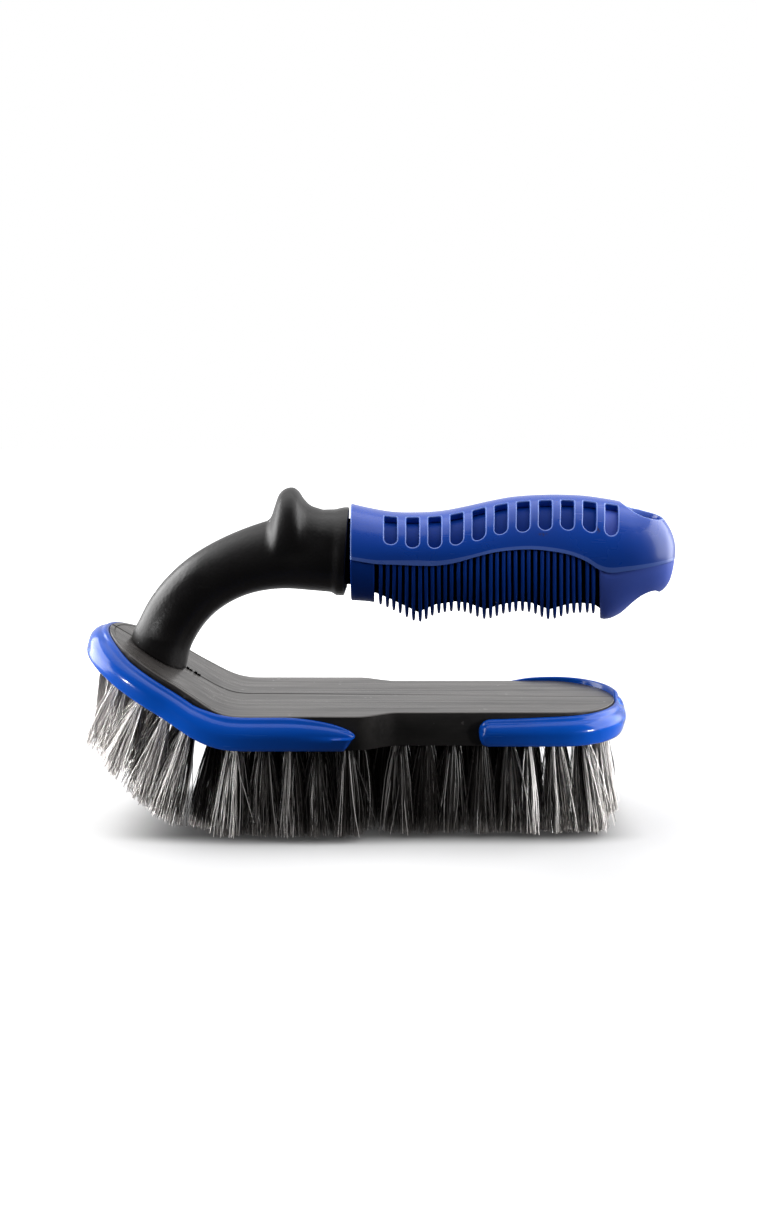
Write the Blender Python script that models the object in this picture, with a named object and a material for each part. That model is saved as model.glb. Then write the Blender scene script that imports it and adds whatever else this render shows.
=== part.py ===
"""Upholstery brush: a bent, tufted head on an arched neck with a ribbed, slotted grip.

Metres, +Z up. The bristle tips stand on z = 0, +X runs from the raised nose to the tail,
and the brush is alike on both sides of its long middle plane.
"""
import math

import bmesh
import bpy
from mathutils import Vector

# Fits
GAP = 0.0003                # between pieces that touch
OVERRUN = 0.006             # how far a cutter runs past what it cuts

# Head block, measured along its top face as if the bent plate lay flat
PLATE_TOP = 0.0429          # top face of the flat stretch above the bristle tips
BLOCK_THICKNESS = 0.0115
NOSE_REACH = 0.0997         # from the reference plane to the tip of the nose
TAIL_REACH = 0.0823         # from the reference plane to the tip of the tail
NOSE_ROUND = 0.0280         # length of the rounded nose
TAIL_ROUND = 0.0212         # length of the rounded tail
NOSE_HALF = 0.0243          # half widths
WIDE_HALF = 0.0279
NARROW_HALF = 0.0224
SHOULDER = 0.0480           # where the wide stretch begins, ahead of the reference plane
WAIST = 0.0075              # where the wide stretch ends, ahead of the reference plane
WAIST_LENGTH = 0.0140       # of the step down to the narrow stretch
BEND_START = 0.0457         # where the nose begins to rise, ahead of the reference plane
BEND_RADIUS = 0.0210        # of the top face
NOSE_ANGLE = math.radians(32)
EDGE_ROUND = 0.0011         # of the top rim
SKIRT = 0.0018              # wall round the bristle backing
BACKING = 0.0014            # thickness of the bristle backing

# Bumpers
BUMPER_REACH = 0.0047       # how far a bumper stands out from the block
BUMPER_DROP = 0.0005        # its top lip below the plate's top face
BUMPER_RISE = 0.0004        # its lower edge above the block's underside
TONGUE = 0.0028             # how far its tongue reaches into the block's groove
FRONT_BUMPER_END = 0.0077   # ahead of the reference plane
FRONT_BUMPER_TAPER = 0.0230
REAR_BUMPER_START = 0.0336  # behind the reference plane
BUMPER_NOSE_TAPER = 0.0042
BUMPER_ROUND = 2.2          # how full the ends are: 2 is an ellipse
SLOPE_ROUND = 1.55
BUMPER_LIP_FALL = 0.0016    # how much lower the rear lip starts than it ends

# Neck
FOOT_SETBACK = 0.0185       # foot centre behind the tip of the nose, along the plate
FOOT_PLACE = NOSE_REACH - FOOT_SETBACK
FOOT_LONG = 0.0100          # half sizes of the foot
FOOT_WIDE = 0.0095
FOOT_FLARE = 0.0008
FOOT_PULL_SHARE = 1.2252    # of the rise to the grip's axis: how far the neck keeps its first direction
FOOT_LEAN = math.radians(16.4)
SOCKET_PULL = 0.0020
SOCKET_X = -0.0116          # rim of the socket
AXIS_HEIGHT = 0.0942        # grip axis above the bristle tips
SOCKET_RADIUS = 0.0144
RIM_FLARE = 0.0009
RIM_LENGTH = 0.0045
RIM_TILT = math.radians(3.3)
STOP_PLACE = -0.0309        # thumb stop
STOP_HEIGHT = 0.0093
STOP_FRONT = 0.0072         # lengths of its two flanks
STOP_REAR = 0.0118
RING_PITCH = 0.0054         # of the neck's rings, and of those at the thumb stop
STOP_RING_PITCH = 0.0021
TENON_LONG = 0.0078         # half sizes of the tenon under the foot
TENON_WIDE = 0.0066
TENON_DEPTH = 0.0036

# Screws that hold the neck
SCREW_SPREAD = 0.0044       # from the foot's centre
SCREW_RADIUS = 0.0016
SCREW_HEAD_RADIUS = 0.0030
SCREW_HEAD = 0.0022
SCREW_LENGTH = 0.0150
SCREW_RECESS = 0.0010
SCREW_SINK = 0.0030         # depth of the counterbore above the backing

# Handle core
COLLAR_RADIUS = 0.0114
COLLAR_ROOT = 0.0005        # how far the collar runs on inside the core's body
SPIGOT_DEPTH = 0.0210       # how far the core reaches into the neck
CORE_DEPTH = 0.0034         # rib height over the core
CORE_END = 0.0784

# Grip
GRIP_START = -0.0094
GRIP_END = 0.1022
GRIP_CROWN = 0.0196         # highest rise above the axis
GRIP_DEPTH = 0.0250         # deepest drop below the axis
GRIP_HALF = 0.0168          # half width
COVER_WALL = 0.0023
SLEEVE_WALL = 0.0018
BLOCK_INSET = 0.0004        # how far the sleeve lies inside the cover's surface
RIB_COUNT = 34
RIB_FIRST = 0.0009
RIB_LAST = 0.0749
RIB_WIDTH = 0.00113
RIB_TAPER = 0.0002          # taken off each side of a rib's tip
RIB_ROOT = 0.0010           # how far the ribs reach down before the bay between them opens
END_BLOCK = 0.0772          # face of the end block
END_LAP = 0.0031            # how far the sleeve laps over the end block
FRONT_BLOCK = -0.0014       # face of the front block
SLOT_COUNT = 11
SLOT_FIRST = 0.0040
SLOT_LAST = 0.0771
SLOT_WIDTH = 0.0043
SPINE_HALF = 0.0060         # between the two rows of slots
HOLE_START = 0.0828         # hanging hole
HOLE_END = 0.0972
HOLE_HALF = 0.0060

# Bristles
FIELD_COUNT = 10
TUFT_PITCH = 0.0092
TUFT_ROW = 0.0084
TUFT_EDGE = 0.0036          # from the block's edge to the outer tufts
TUFT_END_SHARE = 1.35       # of that edge, at the nose and the tail
TUFT_BASE = 0.0008
TUFT_TIP = 0.0021
STRAND_BASE = 0.00052
STRAND_TIP = 0.00042
STRANDS = 3
TRIM_START = 0.0540         # where the trimmed tips begin to rise, ahead of the reference plane
TRIM_RADIUS = 0.0308
TAIL_TRIM = 0.0078          # length of the rising trim at the tail
TAIL_TRIM_START = TAIL_REACH - TAIL_TRIM
TAIL_TRIM_RADIUS = 0.0080
TAIL_FLARE = math.radians(15)
TAIL_FLARE_LENGTH = 0.0400
SIDE_FLARE = math.radians(4)
NOSE_LEAN_SHARE = 0.56      # of the nose's angle

# Outlines, as shares of the sizes that they follow
TOP_LINE_SHARES = (
    (0.0, 0.842), (0.054, 0.770), (0.128, 0.699), (0.20, 0.689), (0.277, 0.714), (0.351, 0.791),
    (0.426, 0.888), (0.50, 0.964), (0.611, 1.0), (0.708, 0.985), (0.782, 0.930), (0.827, 0.883),
    (0.90, 0.755), (0.948, 0.628), (0.972, 0.429), (0.992, 0.21), (1.0, 0.05))
BOTTOM_LINE_SHARES = (
    (0.0, 0.690), (0.0717, 0.722), (0.112, 0.795), (0.152, 0.88), (0.208, 1.0), (0.263, 0.892),
    (0.323, 0.850), (0.361, 0.870), (0.417, 0.96), (0.472, 0.885), (0.523, 0.850), (0.56, 0.868),
    (0.617, 0.963), (0.676, 0.885), (0.715, 0.872), (0.755, 0.885), (0.777, 0.955), (0.81, 0.936),
    (0.869, 0.765), (0.943, 0.560), (0.986, 0.350), (1.0, 0.05))
WIDTH_SHARES = (
    (0.0, 0.99), (0.12, 0.95), (0.25, 0.96), (0.5, 1.0), (0.7, 1.0), (0.83, 0.95), (0.90, 0.84),
    (0.949, 0.68), (0.975, 0.50), (0.990, 0.31), (1.0, 0.05))
DOME_RING_SHARES = (0.905, 0.966, 0.994)
PARTING_SHARES = (
    (0.0, -0.04), (0.0726, -0.125), (0.126, -0.143), (0.199, -0.161), (0.256, -0.161), (0.314, -0.101),
    (0.371, 0.012), (0.428, 0.107), (0.486, 0.155), (0.543, 0.167), (0.60, 0.131), (0.659, 0.048),
    (0.703, -0.077), (0.739, -0.232), (0.775, -0.304), (0.812, -0.286), (0.884, -0.22), (1.0, -0.10))
SLOT_FOOT_SHARES = (0.225, 0.17, 0.165, 0.225, 0.30, 0.40, 0.44, 0.47, 0.475, 0.445, 0.375)
BUMPER_SECTION_SHARES = (
    (0.06, 0.975), (0.22, 1.0), (0.42, 0.94), (0.50, 0.83), (0.80, 0.73),
    (1.0, 0.47), (0.88, 0.19), (0.52, 0.02), (0.06, 0.0))
TONGUE_SHARES = (0.34, 0.62)
NECK_SIZE_SHARES = (
    (0.0, 0.0), (0.12, 0.035), (0.25, 0.06), (0.40, 0.16), (0.55, 0.44), (0.70, 0.82), (0.85, 0.98), (1.0, 1.0))
STOP_SHARES = (
    (-1.0, 0.0), (-0.80, 0.14), (-0.62, 0.50), (-0.44, 0.84), (-0.18, 0.99), (0.12, 0.99),
    (0.30, 0.80), (0.45, 0.48), (0.65, 0.20), (1.0, 0.0))


def smooth(table, place):
    """Value of a table of places and values, read from a smooth curve through its points."""
    if place <= table[0][0]:
        return table[0][1]
    if place >= table[-1][0]:
        return table[-1][1]
    last = len(table) - 1
    index = max(i for i in range(last) if table[i][0] <= place)

    def slope(i):
        low, high = max(i - 1, 0), min(i + 1, last)
        return (table[high][1] - table[low][1]) / (table[high][0] - table[low][0])

    (x0, y0), (x1, y1) = table[index], table[index + 1]
    span = x1 - x0
    t = (place - x0) / span
    bow0 = slope(index) * span - (y1 - y0)
    bow1 = (y1 - y0) - slope(index + 1) * span
    return y0 + (y1 - y0) * t + t * (1 - t) * (bow0 * (1 - t) + bow1 * t)


def step(place, start, length):
    """0 before start, 1 past start + length, and an S curve between."""
    t = min(max((place - start) / length, 0), 1)
    return t * t * (3 - 2 * t)


def clear_scene():
    for item in list(bpy.data.objects):
        bpy.data.objects.remove(item, do_unlink=True)


def finish(name, colour, roughness):
    """One plastic: its colour, roughness and no metal."""
    material = bpy.data.materials.new(name)
    material.use_nodes = True
    shader = material.node_tree.nodes["Principled BSDF"]
    shader.inputs["Base Color"].default_value = (*colour, 1)
    shader.inputs["Roughness"].default_value = roughness
    shader.inputs["Metallic"].default_value = 0
    material.diffuse_color = (*colour, 1)
    return material


def to_object(bm, name, material=None):
    bmesh.ops.recalc_face_normals(bm, faces=bm.faces)
    mesh = bpy.data.meshes.new(name)
    bm.to_mesh(mesh)
    bm.free()
    item = bpy.data.objects.new(name, mesh)
    bpy.context.scene.collection.objects.link(item)
    if material:
        mesh.materials.append(material)
    return item


def shade(item, angle=35):
    item.data.shade_smooth()
    item.data.set_sharp_from_angle(angle=math.radians(angle))


def combine(item, other, operation):
    """Cut, join or intersect two solids, and drop the second one."""
    materials = list(item.data.materials)
    modifier = item.modifiers.new(operation, "BOOLEAN")
    modifier.operation = operation
    modifier.solver = "EXACT"
    modifier.object = other
    graph = bpy.context.evaluated_depsgraph_get()
    mesh = bpy.data.meshes.new_from_object(item.evaluated_get(graph))
    item.modifiers.clear()
    item.data = mesh
    mesh.materials.clear()
    for material in materials:
        mesh.materials.append(material)
    for face in mesh.polygons:
        face.material_index = 0
    bpy.data.objects.remove(other, do_unlink=True)


def simplify(item, angle=1):
    """Join facets that lie all but flat to each other."""
    bm = bmesh.new()
    bm.from_mesh(item.data)
    bmesh.ops.dissolve_limit(bm, angle_limit=math.radians(angle), verts=bm.verts, edges=bm.edges)
    bm.to_mesh(item.data)
    bm.free()


def loft(name, rings, material=None, closed=False):
    """A skin over rings of points; its two ends are capped unless it closes on itself."""
    bm = bmesh.new()
    loops = [[bm.verts.new(point) for point in ring] for ring in rings]
    pairs = list(zip(loops, loops[1:]))
    if closed:
        pairs.append((loops[-1], loops[0]))
    count = len(loops[0])
    for one, two in pairs:
        for i in range(count):
            j = (i + 1) % count
            bm.faces.new((one[i], one[j], two[j], two[i]))
    if not closed:
        bm.faces.new(loops[0])
        bm.faces.new(loops[-1])
    bmesh.ops.triangulate(bm, faces=[face for face in bm.faces if len(face.verts) == 4])
    return to_object(bm, name, material)


def prism(name, outline, low, high, material=None):
    """An upright prism over an outline of x and y."""
    bm = bmesh.new()
    face = bm.faces.new([bm.verts.new((x, y, low)) for x, y in outline])
    top = bmesh.ops.extrude_face_region(bm, geom=[face])["geom"]
    moved = [part for part in top if isinstance(part, bmesh.types.BMVert)]
    bmesh.ops.translate(bm, verts=moved, vec=(0, 0, high - low))
    return to_object(bm, name, material)


def side_prisms(name, outlines, spans):
    """Prisms over outlines of x and z, run across the brush over each span of y."""
    bm = bmesh.new()
    for outline in outlines:
        for low, high in spans:
            face = bm.faces.new([bm.verts.new((x, low, z)) for x, z in outline])
            far = bmesh.ops.extrude_face_region(bm, geom=[face])["geom"]
            moved = [part for part in far if isinstance(part, bmesh.types.BMVert)]
            bmesh.ops.translate(bm, verts=moved, vec=(0, high - low, 0))
    return to_object(bm, name)


def oval(centre_x, half_long, half_wide, count=20):
    """An ellipse about the middle plane, with flats rather than corners on its axes."""
    turns = [math.tau * (i + 0.5) / count for i in range(count)]
    return [(centre_x + half_long * math.cos(turn), half_wide * math.sin(turn)) for turn in turns]


# The head's plan, and its bend

def half_width(x):
    """Half width of the head block at a place along the flat plate."""
    nose_line = NOSE_ROUND - NOSE_REACH
    tail_line = TAIL_REACH - TAIL_ROUND
    if x < nose_line:
        share = min((nose_line - x) / NOSE_ROUND, 1)
        return NOSE_HALF * math.sqrt(1 - share * share)
    if x > tail_line:
        share = min((x - tail_line) / TAIL_ROUND, 1)
        return NARROW_HALF * math.sqrt(1 - share * share)
    swell = step(x, nose_line, -SHOULDER - nose_line)
    waist = step(x, -WAIST, WAIST_LENGTH)
    return NOSE_HALF + (WIDE_HALF - NOSE_HALF) * swell - (WIDE_HALF - NARROW_HALF) * waist


def plan_places():
    """Places along the plate where its outline needs a point, nose to tail."""
    rounds = 8
    nose_line = NOSE_ROUND - NOSE_REACH
    tail_line = TAIL_REACH - TAIL_ROUND
    quarter = math.pi / 2 / rounds
    places = [nose_line - NOSE_ROUND * math.cos(i * quarter) for i in range(rounds + 1)]
    swell = 4
    places += [nose_line + (-SHOULDER - nose_line) * i / swell for i in range(1, swell + 1)]
    waist = 5
    places += [-WAIST + WAIST_LENGTH * i / waist for i in range(waist + 1)]
    places += [tail_line + TAIL_ROUND * math.sin(i * quarter) for i in range(rounds + 1)]
    return places


def side_line(places, offset=0):
    """Points of one side of the plan, moved out square to it, and the outward directions."""
    points = [Vector((x, half_width(x))) for x in places]
    line = []
    for i, point in enumerate(points):
        before = points[i - 1] if i > 0 else Vector((point.x, -points[1].y))
        after = points[i + 1] if i + 1 < len(points) else Vector((point.x, -points[-2].y))
        if i == 0 and point.y > GAP:
            before = point
        if i + 1 == len(points) and point.y > GAP:
            after = point
        along = (after - before).normalized()
        outward = Vector((-along.y, along.x))
        line.append((point + outward * offset, outward))
    return line


def plan(offset=0):
    """The whole plan outline, moved out by an offset."""
    upper = [(point.x, point.y) for point, outward in side_line(plan_places(), offset)]
    lower = [(x, -y) for x, y in reversed(upper[1:-1])]
    return upper + lower


def bend_point(point):
    """Where a point of the flat head comes to lie once the nose is bent up."""
    past = -BEND_START - point.x
    if past <= 0:
        return Vector(point)
    depth = PLATE_TOP - point.z
    angle = min(past / BEND_RADIUS, NOSE_ANGLE)
    straight = past - angle * BEND_RADIUS
    radius = BEND_RADIUS + depth
    x = -BEND_START - radius * math.sin(angle) - straight * math.cos(angle)
    z = PLATE_TOP + BEND_RADIUS - radius * math.cos(angle) + straight * math.sin(angle)
    return Vector((x, point.y, z))


def bend(item, facets=5):
    """Cut a flat solid across at the bend's facets, then bend it."""
    bm = bmesh.new()
    bm.from_mesh(item.data)
    for i in range(facets + 1):
        place = -BEND_START - BEND_RADIUS * NOSE_ANGLE * i / facets
        geometry = bm.verts[:] + bm.edges[:] + bm.faces[:]
        bmesh.ops.bisect_plane(bm, geom=geometry, plane_co=(place, 0, 0), plane_no=(1, 0, 0))
    for vert in bm.verts:
        vert.co = bend_point(vert.co)
    bmesh.ops.triangulate(bm, faces=[face for face in bm.faces if len(face.verts) > 4])
    bmesh.ops.recalc_face_normals(bm, faces=bm.faces)
    bm.to_mesh(item.data)
    bm.free()


# Head block

def underside():
    return PLATE_TOP - BLOCK_THICKNESS


def screw_places():
    return (-FOOT_PLACE - SCREW_SPREAD, -FOOT_PLACE + SCREW_SPREAD)


def recess_roof():
    """Roof of the recess that holds the bristle backing."""
    return underside() + BACKING + GAP


def head_block(material):
    block = prism("head_block", plan(), underside(), PLATE_TOP, material)
    bm = bmesh.new()
    bm.from_mesh(block.data)
    rim = [edge for edge in bm.edges if all(vert.co.z > PLATE_TOP - GAP for vert in edge.verts)]
    bmesh.ops.bevel(bm, geom=rim, offset=EDGE_ROUND, segments=2, profile=0.5, affect="EDGES")
    bm.to_mesh(block.data)
    bm.free()
    combine(block, prism("recess", plan(-SKIRT), underside() - OVERRUN, recess_roof()), "DIFFERENCE")
    for path in (front_path(), rear_path()):
        combine(block, groove(path), "DIFFERENCE")
    mortise = oval(-FOOT_PLACE, TENON_LONG + GAP, TENON_WIDE + GAP)
    floor = PLATE_TOP - TENON_DEPTH - GAP
    combine(block, prism("mortise", mortise, floor, PLATE_TOP + OVERRUN), "DIFFERENCE")
    for place in screw_places():
        bore = oval(place, SCREW_RADIUS + GAP, SCREW_RADIUS + GAP, 12)
        combine(block, prism("bore", bore, underside(), PLATE_TOP), "DIFFERENCE")
        sink = oval(place, SCREW_HEAD_RADIUS + GAP, SCREW_HEAD_RADIUS + GAP, 16)
        combine(block, prism("sink", sink, underside(), recess_roof() + SCREW_SINK), "DIFFERENCE")
    bend(block)
    shade(block)
    return block


# Bumpers

def bumper_heights():
    """Lowest and highest line of a bumper's section."""
    return underside() + BUMPER_RISE, PLATE_TOP - BUMPER_DROP


def end_shares():
    return (0, 0.06, 0.2, 0.45, 0.7, 1)


def front_path():
    """Places along the front bumper, from its end to the tip of the nose."""
    ends = [-FRONT_BUMPER_END - BUMPER_NOSE_TAPER * share for share in end_shares()]
    ends += [-FRONT_BUMPER_END - FRONT_BUMPER_TAPER * share for share in (0.45, 0.7, 1)]
    rest = [x for x in plan_places() if x < ends[-1] - BUMPER_NOSE_TAPER]
    return ends + sorted(rest, reverse=True)


def rear_path():
    """Places along the rear bumper, from its end to the tip of the tail."""
    ends = [REAR_BUMPER_START + BUMPER_NOSE_TAPER * share for share in end_shares()]
    rest = [x for x in plan_places() if x > ends[-1] + BUMPER_NOSE_TAPER]
    return ends + sorted(rest)


def path_frames(path):
    """Points and outward directions along a bumper's path, round the tip to its other end."""
    forward = sorted(path)
    line = side_line(forward)
    if forward[0] != path[0]:
        line.reverse()
    frames = [(point, outward) for point, outward in line]
    mirrored = [(Vector((p.x, -p.y)), Vector((o.x, -o.y))) for p, o in reversed(frames[:-1])]
    return frames + mirrored


def groove(path):
    """The block's groove for a bumper's tongue, as a cutter."""
    low, high = bumper_heights()
    bottom = low + TONGUE_SHARES[0] * (high - low) - GAP
    top = low + TONGUE_SHARES[1] * (high - low) + GAP
    frames = path_frames(path)
    outer = [tuple(point + outward * OVERRUN) for point, outward in frames]
    inner = [tuple(point - outward * (TONGUE + GAP)) for point, outward in reversed(frames)]
    return prism("groove", outer + inner, bottom, top)


def swell(distance, taper, fullness):
    """How full a bumper is at a distance from its end."""
    share = min(max(distance / taper, 0), 1)
    return max(1 - (1 - share) ** fullness, 0.02) ** (1 / fullness)


def bumper(name, path, long_taper, slope, lip_fall, material):
    """A strip swept round one end of the block: roll, lip and tongue."""
    low, high = bumper_heights()
    height = high - low
    pivot = low + height * sum(TONGUE_SHARES) / 2
    start = path[0]
    reach = abs(path[-1] - start)
    rings = []
    for point, outward in path_frames(path):
        distance = abs(point.x - start)
        upper = swell(distance, long_taper, slope)
        lower = swell(distance, BUMPER_NOSE_TAPER, BUMPER_ROUND)
        fall = lip_fall * (1 - step(distance, 0, reach))
        ring = []
        for out_share, high_share in BUMPER_SECTION_SHARES:
            z = low + high_share * (height - fall * high_share)
            z = pivot + (z - pivot) * (upper if z > pivot else lower)
            out = GAP + (out_share - BUMPER_SECTION_SHARES[0][0]) * BUMPER_REACH * lower
            ring.append((out, z))
        inner_low, inner_high = (pivot + (low + share * height - pivot) * lower for share in TONGUE_SHARES)
        ring += [(GAP, inner_low), (-TONGUE, inner_low), (-TONGUE, inner_high), (GAP, inner_high)]
        rings.append([(point.x + outward.x * out, point.y + outward.y * out, z) for out, z in ring])
    strip = loft(name, rings, material)
    bend(strip)
    simplify(strip, 0.5)
    shade(strip, 40)
    return strip


# Neck

def neck_line(t):
    """Middle line of the neck, and its direction, from the foot to the socket's rim."""
    foot = bend_point(Vector((-FOOT_PLACE, 0, PLATE_TOP + GAP)))
    leave = Vector((math.sin(FOOT_LEAN), 0, math.cos(FOOT_LEAN)))
    rim = Vector((SOCKET_X, 0, AXIS_HEIGHT))
    pull = FOOT_PULL_SHARE * (AXIS_HEIGHT - foot.z)
    points = (foot, foot + leave * pull, rim - Vector((SOCKET_PULL, 0, 0)), rim)
    a, b, c, d = points
    s = 1 - t
    place = a * s ** 3 + b * 3 * s * s * t + c * 3 * s * t * t + d * t ** 3
    along = (b - a) * s * s + (c - b) * 2 * s * t + (d - c) * t * t
    return place, along.normalized()


def stop_rise(x):
    """Height of the thumb stop over the neck at a place along the brush."""
    away = x - STOP_PLACE
    return STOP_HEIGHT * smooth(STOP_SHARES, away / (STOP_FRONT if away < 0 else STOP_REAR))


def neck_ring(t, sides):
    place, along = neck_line(t)
    plate_normal = Vector((math.sin(NOSE_ANGLE), 0, math.cos(NOSE_ANGLE)))
    settle = 1 - step(t, 0, 0.3)
    normal = (plate_normal * settle + along * (1 - settle)).normalized()
    tilt = RIM_TILT * step(t, 0.8, 0.2)
    up = Vector((-normal.z, 0, normal.x))
    up = Vector((up.x * math.cos(tilt) + up.z * math.sin(tilt), 0, up.z * math.cos(tilt) - up.x * math.sin(tilt)))
    share = smooth(NECK_SIZE_SHARES, t)
    flare = FOOT_FLARE * (1 - step(t, 0, 0.07))
    rim = RIM_FLARE * step(place.x, SOCKET_X - RIM_LENGTH, RIM_LENGTH * 0.8)
    tall = FOOT_LONG + (SOCKET_RADIUS - FOOT_LONG) * share + flare + rim
    wide = FOOT_WIDE + (SOCKET_RADIUS - FOOT_WIDE) * share + flare + rim
    ring = []
    for i in range(sides):
        angle = 2 * math.pi * i / sides
        height = tall * math.sin(angle)
        point = place + up * height + Vector((0, wide * math.cos(angle), 0))
        if math.sin(angle) > 0:
            rise = stop_rise(point.x) * math.sin(angle) ** 1.4
            point += Vector((0, math.cos(angle) * rise, math.sin(angle) * rise))
        ring.append(point)
    return ring


def neck_places(steps=400):
    """Places of the neck's rings along its middle line, closer together at the thumb stop."""
    places = [0]
    last, along = neck_line(0)
    end, along = neck_line(1)
    for i in range(1, steps):
        here, along = neck_line(i / steps)
        near_stop = -STOP_FRONT < here.x - STOP_PLACE < STOP_REAR
        at_rim = here.x > SOCKET_X - RIM_LENGTH
        pitch = STOP_RING_PITCH if near_stop or at_rim else RING_PITCH
        if (here - last).length > pitch and (end - here).length > pitch / 2:
            places.append(i / steps)
            last = here
    return places + [1]


def neck(material):
    sides = 20
    body = loft("neck", [neck_ring(t, sides) for t in neck_places()], material)
    tenon = oval(-FOOT_PLACE, TENON_LONG, TENON_WIDE)
    post = prism("tenon", tenon, PLATE_TOP - TENON_DEPTH, PLATE_TOP + OVERRUN / 2)
    bend(post)
    combine(body, post, "UNION")
    bore = SPIGOT_DEPTH + GAP
    combine(body, rod("socket", SOCKET_X - bore, SOCKET_X + OVERRUN, COLLAR_RADIUS + GAP, 24), "DIFFERENCE")
    for place in screw_places():
        hole = oval(place, SCREW_RADIUS + GAP, SCREW_RADIUS + GAP, 12)
        pilot = prism("pilot", hole, underside(), screw_tip() + GAP * 2)
        bend(pilot)
        combine(body, pilot, "DIFFERENCE")
    shade(body, 40)
    return body


def rod(name, start, end, radius, sides, material=None):
    """A round bar along the grip's axis."""
    rings = []
    for x in (start, end):
        turn = 2 * math.pi / sides
        rings.append([(x, radius * math.cos(i * turn), AXIS_HEIGHT + radius * math.sin(i * turn))
                      for i in range(sides)])
    return loft(name, rings, material)


# Screws

def screw_seat():
    return recess_roof() + SCREW_SINK - GAP


def screw_tip():
    return screw_seat() - SCREW_HEAD + SCREW_LENGTH


def screw(name, place, material):
    """A pan-head screw with a crossed slot, driven up from the bristle side."""
    seat = screw_seat()
    profile = ((0, seat - SCREW_HEAD), (SCREW_HEAD_RADIUS * 0.7, seat - SCREW_HEAD),
               (SCREW_HEAD_RADIUS, seat - SCREW_HEAD * 0.6), (SCREW_HEAD_RADIUS, seat), (SCREW_RADIUS, seat),
               (SCREW_RADIUS, screw_tip() - SCREW_RADIUS), (0, screw_tip()))
    bm = bmesh.new()
    verts = [bm.verts.new((place + radius, 0, z)) for radius, z in profile]
    edges = [bm.edges.new(pair) for pair in zip(verts, verts[1:])]
    bmesh.ops.spin(bm, geom=verts + edges, cent=(place, 0, 0), axis=(0, 0, 1), angle=math.tau, steps=12)
    bmesh.ops.remove_doubles(bm, verts=bm.verts, dist=GAP / 20)
    item = to_object(bm, name, material)
    slot_long, slot_wide = SCREW_HEAD_RADIUS * 0.55, SCREW_HEAD_RADIUS * 0.12
    for half_x, half_y in ((slot_long, slot_wide), (slot_wide, slot_long)):
        corners = [(place + half_x * sx, half_y * sy) for sx, sy in ((-1, -1), (1, -1), (1, 1), (-1, 1))]
        low = seat - SCREW_HEAD - OVERRUN
        combine(item, prism("slot", corners, low, seat - SCREW_HEAD + SCREW_RECESS), "DIFFERENCE")
    bend(item)
    shade(item)
    return item


# Grip

def grip_share(x):
    return (x - GRIP_START) / (GRIP_END - GRIP_START)


def grip_top(x):
    return GRIP_CROWN * smooth(TOP_LINE_SHARES, grip_share(x))


def grip_bottom(x):
    return GRIP_DEPTH * smooth(BOTTOM_LINE_SHARES, grip_share(x))


def grip_half(x):
    return GRIP_HALF * smooth(WIDTH_SHARES, grip_share(x))


def parting(x):
    """Height of the cover's lower edge."""
    return AXIS_HEIGHT + GRIP_HALF * smooth(PARTING_SHARES, grip_share(x))


def grip_places():
    """Places along the grip where its skin has a ring: those of the finger wave and of the domed end."""
    shares = sorted([share for share, value in BOTTOM_LINE_SHARES] + list(DOME_RING_SHARES))
    return [GRIP_START + (GRIP_END - GRIP_START) * share for share in shares]


def grip_ring(x, top_inset, bottom_inset, sides):
    """One ring of the grip's skin, drawn in by an inset above the axis and another below it."""
    least = GAP
    ring = []
    for i in range(sides):
        angle = 2 * math.pi * i / sides
        lift, spread = math.sin(angle), math.cos(angle)
        blend = (1 + max(min(lift * 2.5, 1), -1)) / 2
        inset = bottom_inset + (top_inset - bottom_inset) * blend
        tall = max((grip_top(x) if lift >= 0 else grip_bottom(x)) - inset, least)
        wide = max(grip_half(x) - inset, least)
        ring.append((x, wide * spread, AXIS_HEIGHT + tall * lift))
    return ring


def grip_solid(name, top_inset, bottom_inset, start, end, sides=20, material=None):
    """The grip's shape between two places along it, drawn in by its insets."""
    places = [x for x in grip_places() if start + GAP < x < end - GAP]
    rings = [grip_ring(x, top_inset, bottom_inset, sides) for x in [start] + places + [end]]
    return loft(name, rings, material)


def below_parting(name, drop, steps=36):
    """Everything below the cover's lower edge, as a solid whose top is drawn down by a drop."""
    start, end = GRIP_START - OVERRUN, GRIP_END + OVERRUN
    line = [(start + (end - start) * i / steps) for i in range(steps + 1)]
    outline = [(x, parting(x) - drop) for x in line]
    floor = AXIS_HEIGHT - GRIP_DEPTH - OVERRUN
    outline += [(end, floor), (start, floor)]
    return side_prisms(name, [outline], [(-GRIP_HALF - OVERRUN, GRIP_HALF + OVERRUN)])


def slots():
    """Cutters for the slots of both sides: square at the spine, round at the foot."""
    outlines = []
    pitch = (SLOT_LAST - SLOT_FIRST) / (SLOT_COUNT - 1)
    radius = SLOT_WIDTH / 2
    rounds = 5
    for i in range(SLOT_COUNT):
        x = SLOT_FIRST + pitch * i
        foot = AXIS_HEIGHT + GRIP_CROWN * SLOT_FOOT_SHARES[i] + radius
        outline = [(x + radius * math.cos(math.pi + math.pi * k / rounds),
                    foot + radius * math.sin(math.pi + math.pi * k / rounds)) for k in range(rounds + 1)]
        roof = AXIS_HEIGHT + GRIP_CROWN + OVERRUN
        outline += [(x + radius, roof), (x - radius, roof)]
        outlines.append(outline)
    reach = GRIP_HALF + OVERRUN
    return side_prisms("slots", outlines, [(-reach, -SPINE_HALF), (SPINE_HALF, reach)])


def hanging_hole(growth):
    middle = (HOLE_START + HOLE_END) / 2
    outline = oval(middle, (HOLE_END - HOLE_START) / 2 + growth, HOLE_HALF + growth, 24)
    low, high = AXIS_HEIGHT - GRIP_DEPTH - OVERRUN, AXIS_HEIGHT + GRIP_CROWN + OVERRUN
    return prism("hanging_hole", outline, low, high)


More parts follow.
